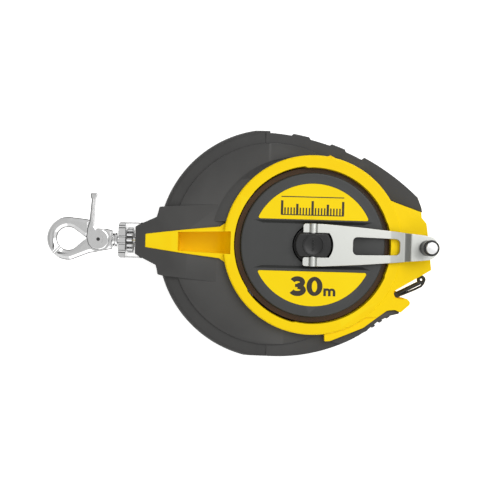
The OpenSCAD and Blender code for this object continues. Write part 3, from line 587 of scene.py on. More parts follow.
def arm_outline(grow):
    """Plan of the yellow left arm, moved out by grow."""
    half = [
        (TIP_X + 6.5 - grow, 4.3), (-62, 7), (-54, 8), (-34.4, 10.2), (-31, 12.4), (-27, 18), (-18, 26),
    ]
    return [(x, -y - grow) for x, y in half] + [(x, y + grow) for x, y in reversed(half)]


def face_disc(name):
    """The raised round face of the charcoal half, with its rounded rim."""
    rim = fillet(64.4, FACE_Z - 0.5, 0.5, 90, 0, 3)
    return lathe(name, [(0, FACE_Z), *rim, (64.9, PART_Z + 5), (0, PART_Z + 5)], steps=180)


def ring_skirt():
    """The charcoal slope from the disc's face up to the ring, on its upper left."""
    foot, high, steps = 30, ARM_Z + 1.6, 120
    rings = ((15.8, 56.4, foot), (15.8, 56.4, FACE_Z - 0.1), (CRANK.x, RING_R - 0.3, high))
    verts = [(CRANK.x, 0, foot), (CRANK.x, 0, high)]
    for i in range(steps + 1):
        a = radians(96 + 70 * i / steps)
        verts += [(x + r * cos(a), r * sin(a), z) for x, r, z in rings]
    faces = []
    for i in range(steps):
        p, q = 2 + 3 * i, 5 + 3 * i
        faces += [(0, q, p), (p, q, q + 1, p + 1), (p + 1, q + 1, q + 2, p + 2), (1, p + 2, q + 2)]
    last = 2 + 3 * steps
    faces += [(0, 2, 3, 4, 1), (0, 1, last + 2, last + 1, last)]
    return build("skirt", verts, faces)


def rubber_front():
    """Charcoal overmould of the front half: disc, nose, skirt and top grip in one piece."""
    disc = lathe("rubber_front", disc_profile(), steps=180)
    cut(disc, block("trim", STEP_X, 150, 0, 150), block("trim", -90, 150, -100, -72.4))
    cut(disc, block("trim", FACE_EDGE_X, 150, -150, 10))
    crown = [(-16, 73.2), (STEP_X + 1, 72.9), (STEP_X + 1, 90), (-16, 90)]
    cut(disc, prism("trim", crown, 0, SKY_Z))

    grip = (
        top_line(0, STEP_X - 3, 10.5, 6)
        + top_line(1.3, 11.1, 22, 5)
        + top_line(0, 22.2, 35.1, 6)
        + top_line(1.3, 36.1, 45, 5)
        + top_line(0, 45.2, 56, 6)
        + top_line(2.1, 57.3, 92.6, 12)
        + [(95.2, 26), (95.8, 22.8), (73, 30.5), (66, 38), (54, 46), (36, 53), (STEP_X - 3, 53)]
    )
    top = prism("top", grip[::-1], PART_Z, BAND_Z + 0.3)
    soften(top, 1.1, 4, 30)
    line = face_disc("line")
    keep(line, block("trim", STEP_X, 41, 1, 100))
    nose = prism("nose", rounded(NOSE, 0.9, 3), PART_Z, FACE_Z + 1)
    ramp = [(-56, FACE_Z + 1.01), (-34, FACE_Z - 0.1), (-20, 34), (-20, 50), (-56, 50)]
    cut(nose, side_prism("ramp", ramp, -60, 60))
    soften(nose, 0.7, 3, 20)

    skirt = ring_skirt()

    right_end = [(60, 28), (73, 30.2), (97, 22.1), (130, 0), (130, -60), (60, -60)]
    tools = (
        well_tool,
        lambda: prism("scoop", arm_outline(-0.6), 10, SKY_Z),
        lambda: prism("right", right_end, 10, SKY_Z),
        lambda: block("mouth", TIP_X - 2, TIP_X + 7, -3.2, 3.2, 10, PART_Z + 0.2),
    )
    for part in (disc, top, line, nose, skirt):
        for tool in tools:
            cut(part, tool())
        clean(part, 0.2)
    join(disc, top, line, nose, skirt)
    smooth(disc, 32)
    return place(disc, "case", RUBBER, "charcoal_rubber", "front_overmould", "top_grip")


def rubber_lower():
    """Charcoal grip along the lower right edge, with its ribs."""
    outer = [(-3, -72.4), (-1.5, -72.4)] + arc_through(*BELLY_ARC, 16) + [
        (61.8, -54.5), (68.6, -48.5), (78.5, -43.5), (83.3, -42),
    ]
    outline = outer + [(79, -38), (74, -38), (60, -49), (38, -56), (20, -52), (-3, -54)]
    grip = prism("rubber_lower", outline, PART_Z, BAND_Z + 0.2)
    soften(grip, 1.1, 4, 30)
    face = face_disc("face")
    keep(face, block("trim", FACE_EDGE_X, 36, -90, -40))
    lip_plan = [
        (38, -61.6), (45, -63), (54, -58.8), (61.4, -54), (68.4, -48.2), (76, -44.1), (80.4, -43),
        (83, -42.3), (79, -40.6), (74, -41.2), (66.3, -46.9), (59, -52.6),
    ]
    lip = prism("lip", rounded(lip_plan, 0.6, 3), 25, FACE_Z + 1)
    soften(lip, 0.5, 3, 30)
    parts = [face, lip]
    rib_count, first_x, first_y, pitch, climb = 6, 56.5, -56.5, 4.6, 0.62
    a = radians(33)
    u, v = Vector((cos(a), sin(a))), Vector((-sin(a), cos(a)))
    corners = ((-1, -1), (1, -1), (1, 1), (-1, 1))
    for i in range(rib_count):
        x = first_x + pitch * i
        c = Vector((x, first_y + climb * (x - first_x) + (0.5 if i > 2 else 0)))
        rib_plan = [tuple(c + u * s * 1.3 + v * t * 1.0) for s, t in corners]
        rib = prism("rib", rib_plan, PART_Z + 1, FACE_Z - 0.4)
        soften(rib, 0.35, 2, 30)
        parts.append(rib)
    for part in (grip, *parts):
        cut(part, well_tool())
        clean(part, 0.2)
    join(grip, *parts)
    smooth(grip, 32)
    return place(grip, "case", RUBBER, "charcoal_rubber", "lower_grip")


def ring_steps(steps=180):
    """The ring's inner wall: a circle whose radius differs a little between six sectors."""
    sectors = ((19, 97, 49.4), (97, 141, 50.4), (141, 216, 50.2), (216, 259, 50.9), (259, 339, 50.3))
    out = []
    for i in range(steps):
        a = 360 * (i + 0.5) / steps
        r = next((r for low, high, r in sectors if low <= a < high), WELL_R)
        out.append((CRANK.x + r * cos(radians(a)), r * sin(radians(a))))
    return out


def yellow_frame():
    """Yellow front shell: ring, left arm with the knob's scoop, and the right end."""
    inner_r, edge = 48, 1.4
    section = [(inner_r, PART_Z + 6), (RING_R, PART_Z + 6)]
    section += fillet(RING_R - edge, RING_Z - edge, edge, 0, 90, 6) + [(inner_r, RING_Z)]
    shell = lathe("yellow_frame", section, CRANK.xy, 180)

    arm = prism("arm", arm_outline(0), PART_Z + 0.5, ARM_Z)
    cut(arm, side_prism("slope", [(TIP_X, 37.2), (-61, 38.2), (-61, 50), (TIP_X, 50)], -30, 30))
    soften(arm, 0.5, 3, 30)
    face = prism("face", rounded(FACE, FACE_R, 4), PART_Z, BODY_Z)
    near, far = BODY_Z + 0.01, BODY_Z - 1.3
    facet = [(60, 29.0, near), (110, 11.0, near), (110, 21, far), (60, 39, far)]
    cut(face, build("facet", facet + [(x, y, SKY_Z) for x, y, _ in facet], BOX_FACES))
    soften(face, 0.9, 4, 30)

    # The low slope from the ring down to the right end.
    foot, crest = BODY_Z - 2, RING_Z - 0.45
    slope = [(50, foot), (65, foot), (65, BODY_Z - 0.1), (57, crest), (50, crest)]
    apron = lathe("apron", slope, CRANK.xy, 150)
    keep(apron, prism("plan", [(x - 0.6 if x > 60 else x, y) for x, y in FACE], 0, SKY_Z))
    keep(apron, block("right", 44, 100, -45, 45))
    unite(shell, arm, face, apron)
    cut(shell, prism("inside", ring_steps(), 10, SKY_Z))

    # The scoop that takes the knob when the crank is folded.
    floor_z, lip_z = 22.4, ARM_Z - 3
    side = [(-61, floor_z), (-39, floor_z), (-33, floor_z + 3), (-27.1, lip_z), (-27.1, 50), (-61, 50)]
    scoop = side_prism("scoop", side, -7.4, 7.4)
    plan = [(-62, -6.05), (-49, -6.5), (-26, -7.3), (-26, 7.3), (-49, 6.5), (-62, 6.05)]
    keep(scoop, prism("plan", plan, 10, SKY_Z))
    cut(shell, scoop)

    # Room for the clip to swing on its pin.
    pin, pin_r, low, high = (82, -32), 3.6, 17.0, 22.6
    cut(shell, lathe("room", [(0, low), (pin_r, low), (pin_r, high), (0, high)], pin, 48))
    swing = [(0, 3.6), (30, 19), (40, -40), (8, -12), (-1.6, -3.2)]
    cut(shell, prism("room", [(pin[0] + x, pin[1] + y) for x, y in swing], low, high))
    break_edges(shell, 0.22)
    return place(shell, "case", YELLOW, "yellow_abs", "front_shell")


def dial():
    """Dark round plate in the ring: groove, rim, channel and label seats, and a brown liner in the groove
    that is painted shade.
    """
    c = CRANK
    hole, foot, shoulder = 12.8, 31.5, 35
    profile = (
        [(hole, foot), (WELL_R - 0.1, foot), (WELL_R - 0.1, shoulder), (DIAL_R + 0.4, shoulder)]
        + [(DIAL_R, 36.2)] + fillet(DIAL_R - 1.2, RING_Z - 1.2, 1.2, 8, 90, 5)
        + [(hole, RING_Z)]
    )
    plate = lathe("dial", profile, centre=c.xy, steps=160)
    z, top = RING_Z - 2.2, RING_Z + 0.01
    low_x, high_x, low_y, high_y = 32, 37.5, CHANNEL - 1.3, CHANNEL + 0.5
    flare = build("flare", [
        (c.x + sx * x, sy * y, h)
        for x, y, h in ((low_x, low_y, z), (high_x, high_y, top))
        for sx, sy in ((-1, -1), (1, -1), (1, 1), (-1, 1))],
        BOX_FACES)
    cut(plate, flare)
    for side in (1, -1):
        seat = prism("seat", label_outline(side, 0.15), RING_Z - 0.4, RING_Z + 2)
        cut(plate, seat)
    break_edges(plate, 0.2)
    place(plate, "case", DIAL, "dark_plastic", "dial_plate")
    # A brown ring on the groove's floor: painted shade, standing in for the yellow wall in its shadow.
    inner, outer, low, high = DIAL_R + 0.55, WELL_R - 0.15, 35.02, 35.4
    shade_liner = lathe("well_shade_liner", [(inner, low), (outer, low), (outer, high), (inner, high)], c.xy, 160)
    return place(smooth(shade_liner), "case", GROOVE_SHADE, "dark_plastic")


def label_outline(side, grow=0.0):
    """A round segment with rounded corners above or below the channel."""
    r = LABEL_R + grow
    y = (16.1 if side > 0 else 16.9) - grow
    a = degrees(asin(y / r))
    points = arc((CRANK.x, 0), r, a, 180 - a, 48)
    outline = [points[-3], points[-1], points[0], points[2], *points[3:-3]]
    corners = rounded(outline, [0, 2.8, 2.8] + [0] * (len(outline) - 3), 6)
    if side < 0:
        corners = [(x, -y) for x, y in corners]
    return corners


def labels():
    """The two yellow labels, thin plates that stand a little proud of the dial."""
    for side, name, node in ((1, "label_upper", "upper_label"), (-1, "label_lower", "lower_label")):
        piece = prism(name, label_outline(side), RING_Z - 0.42, RING_Z + 0.03)
        soften(piece, 0.12, 2, 40)
        place(piece, "case", LABEL, "yellow_label", node)


def stroke(name, path, width, z, thickness=0.04):
    """A flat printed stroke along a path of points."""
    left, right = [], []
    for i, p in enumerate(path):
        a, b = Vector(path[max(0, i - 1)]), Vector(path[min(len(path) - 1, i + 1)])
        d = (b - a).normalized()
        side = Vector((-d.y, d.x)) * width / 2
        left.append(tuple(Vector(p) + side))
        right.append(tuple(Vector(p) - side))
    return prism(name, left + right[::-1], z, z + thickness)


def digit_three(x, y, w, h, t, z):
    """A bold 3 with strokes t wide, whose lower left corner is at x, y."""
    r_top, r_low = h * 0.27, h * 0.3
    cx = x + w * 0.46
    top = oval((cx, y + h - r_top - t * 0.1), w * 0.5 - t * 0.55, r_top - t * 0.35, 160, -88)
    low = oval((cx, y + r_low - t * 0.03), w * 0.54 - t * 0.5, r_low - t * 0.43, 88, -158)
    waist = [(cx - w * 0.14, y + h * 0.525), (cx + w * 0.14, y + h * 0.525)]
    return [stroke("three", top, t * 0.95, z), stroke("three", low, t, z + 0.004),
            stroke("three", waist, t * 0.62, z + 0.008)]


def digit_zero(x, y, w, h, t, z):
    """A bold 0 with strokes t wide, whose lower left corner is at x, y."""
    outer = oval((x + w / 2, y + h / 2), w / 2, h / 2, 0, 360, 48)[:-1]
    inner = oval((x + w / 2, y + h / 2), w / 2 - t, h / 2 - t * 0.72, 0, 360, 48)[:-1]
    zero = prism("zero", outer, z, z + 0.04)
    return [cut(zero, prism("hole", inner, z - 1, z + 1))]


def letter_m(x, y, w, h, t, z):
    """A bold small m: three stems and two arches."""
    parts = []
    step = (w - t) / 2
    for i in range(3):
        sx = x + t / 2 + step * i
        tall = h * (1 if i == 0 else 0.66)
        parts.append(stroke("stem", [(sx, y), (sx, y + tall)], t, z + 0.004 * (i % 2)))
    for i in range(2):
        middle = (x + t / 2 + step * (i + 0.5), y + h * 0.62)
        arch = oval(middle, step / 2, h * 0.38 - t * 0.4, 175, 0, 14)
        parts.append(stroke("arch", arch, t * 0.86, z + 0.008 + 0.004 * i))
    return parts


def prints():
    """Generic print: a scale on the upper label, the tape's length on the lower one."""
    z = RING_Z + 0.03
    x, y, digit_w, digit_h = CRANK.x - 13.8, -32.4, 10.2, 12.2
    number = join(
        *digit_three(x, y, digit_w, digit_h, 3.3, z),
        *digit_zero(x + 10.5, y, digit_w, digit_h, 3.4, z),
    )
    number.name = "print_length"
    place(number, "case", INK, "black_plastic")
    unit = join(*letter_m(x + 21.3, y + 0.1, 7.7, 4.9, 1.7, z))
    unit.name = "print_unit"
    place(unit, "case", INK, "black_plastic")
    bars = []
    left, right, base, head = 4.4, 44.4, 18.9, 30.4
    for level in (base, head):
        bars.append(block("bar", left, right, level - 0.3, level + 0.3, z, z + 0.04))
    count = 20
    for i in range(count + 1):
        tick = left + 0.6 + (right - left - 1.2) * i / count
        tall = 9.0 if i % 10 == 0 else 7.0 if i % 5 == 0 else 4.6
        half = 0.75 if i % 5 == 0 else 0.45
        bars.append(block("tick", tick - half, tick + half, base + 0.2, base + tall, z, z + 0.044))
    scale = join(*bars)
    scale.name = "print_scale"
    place(scale, "case", INK, "black_plastic")


# ------ crank


def hub():
    """Black hub: round base, flat-sided boss and the cap with its thumb dimple."""
    c = CRANK
    foot, base_r, base_top, top = 31, 12.2, 38.4, 46.9
    side = [(0, foot), (base_r, foot), *fillet(base_r - 0.5, base_top - 0.5, 0.5, 0, 90, 4), (0, base_top)]
    base = lathe("crank_hub_body", side, c.xy, 96)
    half_width, r = 7.4, 11.4
    a = degrees(asin(half_width / r))
    outline = arc((c.x, 0), r, -a, a, 14) + arc((c.x, 0), r, 180 - a, 180 + a, 14)
    boss = prism("boss", outline, base_top - 1, top)
    soften(boss, 0.9, 4, 30)
    dimple = [
        (0, top - 0.9), (4.2, top - 0.8), (6.2, top - 0.25), (6.8, top + 0.2), (6.8, top + 3), (0, top + 3),
    ]
    cut(boss, lathe("dish", dimple, c.xy, 72))
    clean(boss, 0.2)
    lip = [(6.1, top - 0.6)] + fillet(6.45, top + 0.05, 0.45, 180, 0, 6) + [(6.9, top - 0.6)]
    rim = lathe("rim", lip, c.xy, 72)
    dots, pitch, stagger = 9, 0.8, 0.35
    dot = [(0, top - 0.5), (0.5, top - 0.5), (0.36, top - 0.1), (0, top + 0.02)]
    knurl = [
        lathe("knurl", dot, (c.x + (stagger if i % 2 else -stagger), pitch * i - 3.2), 10)
        for i in range(dots)
    ]
    join(base, boss, rim, *knurl)
    smooth(base, 34)
    return place(base, "hub_assembly", BLACK, "black_plastic", "crank_hub", "hub_cap")


def turn_to_hinge(obj):
    """Turns a piece made about the X axis to lie along the hinge, which crosses the crank's axis."""
    obj.data.transform(Matrix.Rotation(radians(90), 4, "Z"))
    obj.data.transform(Matrix.Translation(Vector((CRANK.x, 0, 0)) * MM))
    return obj


def hinge_ends():
    """Bright ends of the hinge pins, staked into the prongs."""
    profile = [(0, 4.2), (1.55, 4.2), (1.55, 12.6), (2.3, 12.7), (2.4, 13.3), (1.9, 13.6), (0, 13.7)]
    parts = []
    for side in (-1, 1):
        pin = lathe("pin", [(r, side * h) for r, h in profile], (0, HINGE_Z), 32, "X")
        parts.append(turn_to_hinge(pin))
    pins = join(*parts)
    pins.name = "hinge_pin_ends"
    smooth(pins, 34)
    return place(pins, "hub_assembly", CHROME, "bright_steel", "hinge_pins")


def arm_half(side):
    """Edge of the crank arm on one side, from the prong's end to the bend."""
    return [(x, side * y) for x, y in ((-6.5, 13.5), (6, 13.5), (30, 11.9), (53, 9.8), (61, 8.75))]


def crank_arm():
    """Brushed metal arm: forked prongs, long window, a bend and a round end."""
    c = CRANK
    thick, rise = 2.4, 4.0
    end_r, prong, corner_r = 7.7, 7.7, 1.6
    outer = arm_half(-1) + arc((ARM_LENGTH, 0), end_r, -84, 84, 20) + arm_half(1)[::-1]
    fork = [(-6.5, prong), (1.0, prong), *arc((0, 0), 12.6, 37.7, -37.7, 16), (1.0, -prong), (-6.5, -prong)]
    outline = outer + fork
    # Both outer corners of the prongs are rounded, and the inner one on the -Y side.
    corners = (0, len(outer) - 1, len(outline) - 1)
    outline = rounded(outline, [corner_r if i in corners else 0 for i in range(len(outline))], 5)
    outline = [(x + c.x, y) for x, y in outline]
    plate = prism("crank_arm_plate", outline, HINGE_Z - 6, HINGE_Z + 10)
    window = rounded([(25.2, -5.7), (54.8, -5.05), (54.8, 5.05), (25.2, 5.7)], 2.8, 6)
    cut(plate, prism("window", [(x + c.x, y) for x, y in window], 0, 80))
    low, high = HINGE_Z - thick / 2, HINGE_Z + thick / 2
    side = [
        (-9, low), (49, low), (57.6, low + 0.5), (58.6, low + 0.85), (61.6, low + rise - 0.25),
        (62.6, low + rise), (82, low + rise), (82, high + rise), (62.3, high + rise),
        (61.2, high + rise - 0.25), (58.2, high + 0.85), (57.4, high + 0.5), (48.8, high), (-9, high),
    ]
    keep(plate, side_prism("bend", [(x + c.x, h) for x, h in side], -20, 20))
    soften(plate, 0.32, 3, 26)

    # The prongs' ends are rolled round the hinge pins.
    roll = [(1.65, prong), (2.9, prong), (2.95, prong + 0.3), (2.95, 13.2), (2.9, 13.5), (1.65, 13.5)]
    curls = [turn_to_hinge(lathe("curl", roll, (0, HINGE_Z), 40, "X")) for _ in range(2)]
    curls[0].data.transform(Matrix.Scale(-1, 4, (0, 1, 0)))
    curls[0].data.flip_normals()
    join(plate, *curls)
    smooth(plate, 28)
    return place(plate, "arm_assembly", ARM, "crank_metal", "crank_arm")


def knob():
    """Black knob with a bright cap, on its stud."""
    at = (CRANK.x + ARM_LENGTH, 0)
    foot, top, bore, seat_r = 49.25, 63.2, 1.8, 3.8
    side = [
        (bore, foot + 0.15), (4.1, foot + 0.15), (4.7, foot + 0.4), (4.9, foot + 1.1), (4.75, foot + 2.2),
        (4.35, foot + 4), (4.3, foot + 7), (4.5, foot + 10), (4.85, foot + 12.2), (4.98, top - 0.9),
    ]
    side += fillet(4.48, top - 0.5, 0.5, 0, 90, 4)
    side += [(3.95, top), (seat_r, top - 0.2), (seat_r, top - 1.4), (bore, top - 1.4)]
    grip = lathe("knob_grip", side, at, 72)
    smooth(grip, 34)
    place(grip, "knob", BLACK, "black_plastic", "crank_knob")
    dome = [(0, top - 1.3), (3.65, top - 1.3), (3.65, top + 0.5)]
    dome += fillet(3.0, top + 0.6, 0.65, 5, 80, 5) + [(0, top + 1.5)]
    cap = lathe("knob_end_cap", dome, at, 64)
    smooth(cap, 34)
    place(cap, "arm_assembly", KNOB_CAP, "white_plastic", "knob_cap")


# ------ snap hook and end claw


def tiers(name, outline, levels):
    """The outline stacked through (height, inset) levels, for parts with wide bevels."""
    n = len(outline)
    area = sum(outline[i - 1][0] * outline[i][1] - outline[i][0] * outline[i - 1][1] for i in range(n))
    turn = 1 if area > 0 else -1
    inward = []
    for i in range(n):
        a, b, c = Vector(outline[i - 1]), Vector(outline[i]), Vector(outline[(i + 1) % n])
        d, e = (b - a).normalized(), (c - b).normalized()
        normal = Vector((-d.y - e.y, d.x + e.x)) * turn
        size = normal.length_squared
        inward.append(normal * (2 / size if size > 0.8 else 1 / sqrt(size)))
    verts = [
        (x + w.x * inset, y + w.y * inset, z)
        for z, inset in levels
        for (x, y), w in zip(outline, inward)
    ]
    top = n * (len(levels) - 1)
    faces = [tuple(reversed(range(n))), tuple(range(top, top + n))]
    for k in range(len(levels) - 1):
        for i in range(n):
            j = (i + 1) % n
            faces.append((k * n + i, k * n + j, k * n + n + j, k * n + n + i))
    return build(name, verts, faces)


def mirror_tiers(half):
    """Levels for a part that has the same wide bevels above and below the hook's middle."""
    below = [(HOOK_Z - z, inset) for z, inset in reversed(half)]
    return below + [(HOOK_Z + z, inset) for z, inset in half]


def snap_fixed():
    """Lower jaw, plate under the trigger, neck and swivel collar."""
    ring = (RING_X, 0)
    outline = (
        arc(ring, 14.3, SEAM + 1.3, 281, 14)
        + [(-122, -9.3), (-114.3, -7.9), (-106.8, -6.1), (-106.8, 6.1), (-111.4, 7.2), (-116, 5.2),
           (-121, 3.5), (-124.3, 0.3)]
        + arc(ring, 7.7, 309, SEAM + 2.2, 16)
    )
    body = tiers("snap_fixed", outline, mirror_tiers(JAW_EDGE))
    # Room for the trigger, above the fixed plate.
    floor_z, disc_r = HOOK_Z + 1, 8.3
    disc_room = [(0, floor_z), (disc_r, floor_z), (disc_r, 30), (0, 30)]
    cut(body, lathe("room", disc_room, (RIVET_X, 0), 72))
    lever_room = [(-127, 3), (-126.4, -0.6), (-123.4, -2.0), (-116, -2), (-116, 12), (-127, 12)]
    cut(body, prism("room", lever_room, floor_z, 30))
    clean(body, 0.2)
    smooth(body, 16)
    swivel = lathe("collar", [
        (0, -106.9), (4.7, -106.9), (5.5, -106.5), (5.8, -106.1), (5.8, -105.1), (5.2, -104.9),
        (5.2, -104.7), (6.1, -104.5), (6.3, -104.2), (6.3, -103.2), (6.0, -102.9), (4.6, -102.8),
        (3, -102.8), (3, -99), (0, -99)],
        (0, HOOK_Z), 64, "X")
    smooth(swivel, 24)
    join(body, swivel)
    return place(body, "snap", CHROME, "chrome", "snap_body")


def snap_moving():
    """Upper jaw, trigger disc and lever."""
    ring = (RING_X, 0)
    jaw_outline = (
        [(-124.2, 0.9), (-121.5, 3.6), (-121.5, 12.7), (-123.6, 13.0), (-131.6, 14.0)]
        + arc(ring, 14.35, 77, SEAM - 1.3, 30) + arc(ring, 7.65, SEAM - 2.2, 62, 28)
    )
    jaw = tiers("jaw", jaw_outline, mirror_tiers(JAW_EDGE))
    under_plate = [(-127, -4), (-125.6, 0.1), (-122.6, 5.0), (-110, 9), (-110, -9)]
    cut(jaw, prism("room", under_plate, -5, HOOK_Z + 1.06))
    clean(jaw, 0.2)
    plate_outline = (
        arc((RIVET_X, 0), 7.1, 242, 464, 44)
        + [(-118.9, 8.6), (-118.3, 26.3), (-117.9, 27.6), (-117.2, 28.2), (-117.2, 30.3), (-117.7, 30.6),
           (-121.3, 30.6), (-121.8, 30.2), (-121.8, 28.4), (-121.0, 26.4), (-122.1, 11.8), (-123.5, 6.9),
           (-124, 1.2), (-122.6, -3.6), (-120.2, -6.1)]
    )
    z = HOOK_Z
    plate_levels = [(z + 1.05, 0), (z + 2.9, 0), (z + 3.05, 0.2), (z + 3.3, 0.7), (z + 3.34, 0.85)]
    plate = tiers("plate", plate_outline, plate_levels)
    collar = [(1.5, z + 3.2), (2.15, z + 3.2), (2.15, z + 3.36)] + fillet(1.85, z + 3.3, 0.3, 0, 180, 6)
    rim = lathe("rim", collar, (RIVET_X, 0), 40)
    groove = tiers("groove", [(-120.3, 12), (-119.6, 12), (-119.15, 27), (-119.75, 27)],
                   [(z + 3.0, 0.1), (z + 3.6, 0)])
    cut(plate, groove)
    cut(plate, lathe("hole", [(0, z + 1.5), (1.5, z + 1.5), (1.5, z + 6), (0, z + 6)], (RIVET_X, 0), 32))
    clean(plate, 0.2)
    smooth(jaw, 16)
    smooth(plate, 16)
    smooth(rim, 30)
    join(jaw, plate, rim)
    place(jaw, "trigger", CHROME, "chrome", "snap_trigger")
    # A black plug in the rivet's bore: painted shade for the dark inside of the hole.
    bore_r, low, high = 1.45, z + 2.2, z + 3.28
    bore_side = [(0, low), (bore_r, low), (bore_r, high), (0, high)]
    bore = lathe("rivet_bore_shade", bore_side, (RIVET_X, 0), 32)
    return place(smooth(bore, 30), "trigger", BLACK, "bright_steel")


def end_fitting():
    """Chrome claw round the blade's end, and the fluted sleeve behind it."""
    x0, x1 = CLAW_X, CLAW_X + 4.7
    foot, top = HOOK_Z - 7.6, HOOK_Z + 7.6
    plan = rounded([(x0, -12), (x1, -12), (x1, 12), (x0, 12)], [2.6, 0.3, 0.3, 2.6], 7)
    claw = prism("end_claw_body", plan, foot, top)
    soften(claw, 0.9, 4, 50)
    for y, half in ((8.6, 0.9), (2.3, 0.6), (-2.5, 0.6), (-7.7, 0.9)):
        dip = [(x0 - 2, y - half), (x1 + 2, y - half), (x1 + 2, y + half), (x0 - 2, y + half)]
        cut(claw, tiers("crease", dip, [(top - half * 0.7, half - 0.06), (top + 0.06, -0.1)]))
    shaft = 3.1
    cut(claw, block("shaft", x0 - 1, x0 + 3.6, -shaft, shaft, HOOK_Z - shaft, HOOK_Z + shaft))
    clean(claw, 0.2)
    smooth(claw, 30)
    wing_end, wing_thick = -86.1, 1.1
    wing_side = rounded([(x1 - 1.5, HOOK_Z - 7), (wing_end, HOOK_Z - 6.4), (wing_end, HOOK_Z + 6.4),
                         (x1 - 1.5, HOOK_Z + 7)], [0, 2, 2, 0], 5)
    wings = []
    for y in (-11.95, 10.85):
        wing = side_prism("wing", wing_side, y, y + wing_thick)
        soften(wing, 0.35, 3, 40)
        wings.append(wing)
    join(claw, *wings)
    place(claw, "blade_end", CHROME, "chrome", "end_claw")

    back, front = CLAW_X + 5.3, TIP_X - 4.1
    sleeve_r, flutes = 7.2, 12
    # A black core under the chrome ribs: painted shade that shows in the gaps between the flutes.
    flute_shade_side = [(0, back + 0.1), (sleeve_r, back + 0.1), (sleeve_r, front - 0.2), (0, front - 0.2)]
    flute_shade = lathe("ferrule_flute_shade", flute_shade_side, (0, HOOK_Z), 48, "X")
    place(smooth(flute_shade, 30), "blade_end", BLACK, "chrome")
    rib_side = [(0, back), (1.0, back), (1.3, back + 0.3), (1.3, front - 0.3), (1.0, front), (0, front)]
    ribs = []
    for i in range(flutes):
        a = radians(360 / flutes * i)
        at = (sleeve_r * sin(a), HOOK_Z + sleeve_r * cos(a))
        ribs.append(lathe("rib", rib_side, at, 16, "X"))
    sleeve = join(*ribs)
    sleeve.name = "ferrule_ribs"
    smooth(sleeve, 34)
    return place(sleeve, "blade_end", CHROME, "chrome", "end_ferrule")


# ------ lanyard clip


def wire(name, path, r, z, sides=14):
    """A round wire along a plan path, with rounded ends."""
    points = [Vector(p) for p in path]
    first, last = (points[1] - points[0]).normalized(), (points[-1] - points[-2]).normalized()
    rings = [
        (points[0] - first * r * 0.6, 0.5), *[(q, 1) for q in points], (points[-1] + last * r * 0.6, 0.5),
    ]
    verts, faces = [], []
    for i, (q, scale) in enumerate(rings):
        d = (rings[min(i + 1, len(rings) - 1)][0] - rings[max(i - 1, 0)][0]).normalized()
        for k in range(sides):
            a = 2 * pi * k / sides
            across, up = r * scale * cos(a), r * scale * sin(a)
            verts.append((q.x - d.y * across, q.y + d.x * across, z + up))
    for i in range(len(rings) - 1):
        for k in range(sides):
            j = (k + 1) % sides
            faces.append((i * sides + k, i * sides + j, (i + 1) * sides + j, (i + 1) * sides + k))
    faces += [tuple(range(sides)), tuple(range((len(rings) - 1) * sides, len(rings) * sides))]
    return smooth(build(name, verts, faces), 50)


def lanyard_clip():
    """Black wire clip: a thick bar, a rolled eye and a thin wire that runs back."""
    z, eye, foot = 19.8, (99.3, -20.9), (81.3, -31.8)
    bar = wire("clip_bar", [foot, (98.3, -22.9)], 1.4, z)
    curl = wire("curl", arc(eye, 1.85, 225, -110, 34), 1.15, z)
    back_path = [
        (101.1, -21.6), (100.9, -23.2), (99.2, -25.3), (95.4, -27.3), (87.5, -30.8), (85.2, -31.6),
        (82.4, -32.4),
    ]
    back = wire("back", back_path, 0.75, z)
    link = join(bar, curl, back)
    return place(link, "link", WIRE, "black_wire", "lanyard_link", "link_wire")


# ------ making

rubber_front()
rubber_lower()
yellow_frame()
dial()
labels()
prints()
hub()
hinge_ends()
crank_arm()
knob()
snap_fixed()
snap_moving()
end_fitting()
lanyard_clip()

# The back and the inside show as the CAD solids, with rounded edges in millimetres.
dress_node("rear_shell", YELLOW, 0.4, 3)
dress_node("rear_overmould", RUBBER, 0.6, 3)
for node in ("mouth_guide", "drum", "drum_front_flange"):
    dress_node(node, BLACK, 0.3)
for node in ("crank_bush", "drum_bush", "clamp_rivets"):
    dress_node(node, BRASS, 0.12)
for node in (
    "case_screws", "drum_axle", "roller_pins", "blade_run", "pinion_screws", "blade_coil", "gear_screw",
):
    dress_node(node, STEEL, 0.0)
for node in ("knob_stud", "end_clamp", "snap_rivet", "snap_spring"):
    dress_node(node, CHROME, 0.25)
for node in ("near_roller", "far_roller", "drum_pinion", "crank_gear"):
    dress_node(node, NYLON, 0.1)
dress_node("link_pin", BLACK, 0.3)
dress_node("mouth_wiper", FELT, 0.1)
dress_node("blade_lead", LABEL, 0.0)

# ------ floor, then light and camera, which are in metres

FLOOR_HALF = 40000  # half the floor's side
corners = ((-1, -1), (1, -1), (1, 1), (-1, 1))
floor = prism("floor", [(FLOOR_HALF * x, FLOOR_HALF * y) for x, y in corners], -2, -0.05)
pale = Shader("pale_floor")
pale.set(
    Base_Color=(0.9, 0.9, 0.897), Roughness=0.7, Emission_Color=(1.0, 1.0, 0.995), Emission_Strength=0.62
)
floor.data.materials.append(pale.material)


def area_light(name, at, target, size, power):
    """A rectangular light, turned to its target."""
    data = bpy.data.lights.new(name, "AREA")
    data.shape = "RECTANGLE"
    data.size, data.size_y = size
    data.energy = power
    obj = bpy.data.objects.new(name, data)
    bpy.context.scene.collection.objects.link(obj)
    obj.location = at
    obj.rotation_euler = (Vector(target) - Vector(at)).to_track_quat("-Z", "Y").to_euler()
    return obj


MIDDLE = (-0.018, -0.001, 0.02)
area_light("key", (0.35, 0.5, 0.95), MIDDLE, (0.9, 0.7), 4.8)
area_light("fill", (0.1, -0.75, 0.8), MIDDLE, (0.8, 0.8), 1.4)

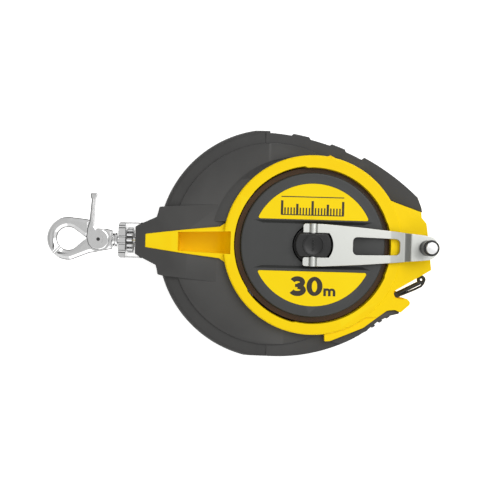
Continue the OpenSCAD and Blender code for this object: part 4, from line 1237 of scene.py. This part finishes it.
# The sky's brightness, as (sine of the elevation, level), between its two end colours. It is dark near the
# horizon, so that metal shows dark edges.
SKY = ((0.02, 0.12), (0.42, 0.08), (0.54, 1.4), (0.93, 1.4), (0.97, 1.05))
HORIZON, ZENITH = (0.5, 0.5, 0.5, 1), (1.05, 1.05, 1.04, 1)
# The sky's strength falls from the first number to the second towards the upper left of the photograph.
SKY_STRENGTH = (0.62, 0.42)
SKY_DIM_WAY = (-0.85, 0.53, 0)
SKY_DIM_RANGE = (0.1, 0.6)

world = bpy.data.worlds.new("studio")
bpy.context.scene.world = world
world.use_nodes = True
nodes, links = world.node_tree.nodes, world.node_tree.links
background = nodes["Background"]
coords = nodes.new("ShaderNodeTexCoord")
split = nodes.new("ShaderNodeSeparateXYZ")
links.new(coords.outputs["Generated"], split.inputs[0])
ramp = nodes.new("ShaderNodeValToRGB")
ramp.color_ramp.elements[0].position = 0.0
ramp.color_ramp.elements[0].color = HORIZON
ramp.color_ramp.elements[1].position = 1.0
ramp.color_ramp.elements[1].color = ZENITH
for position, level in SKY:
    ramp.color_ramp.elements.new(position).color = (level, level, level, 1)
links.new(split.outputs["Z"], ramp.inputs["Fac"])
links.new(ramp.outputs["Color"], background.inputs["Color"])
away = nodes.new("ShaderNodeVectorMath")
away.operation = "DOT_PRODUCT"
links.new(coords.outputs["Generated"], away.inputs[0])
away.inputs[1].default_value = SKY_DIM_WAY
dim = nodes.new("ShaderNodeMapRange")
links.new(away.outputs["Value"], dim.inputs["Value"])
dim.inputs["From Min"].default_value, dim.inputs["From Max"].default_value = SKY_DIM_RANGE
dim.inputs["To Min"].default_value, dim.inputs["To Max"].default_value = SKY_STRENGTH
links.new(dim.outputs["Result"], background.inputs["Strength"])

# The photograph looks straight down on the front face, turned a little.
camera_data = bpy.data.cameras.new("camera")
camera_data.angle = radians(32.3)
camera_data.clip_start = 0.01
camera = bpy.data.objects.new("camera", camera_data)
bpy.context.scene.collection.objects.link(camera)
camera.location = (-0.0179, -0.0012, 0.58)
camera.rotation_euler = (0, 0, radians(1.6))
bpy.context.scene.camera = camera

bpy.context.scene.view_settings.view_transform = "Standard"
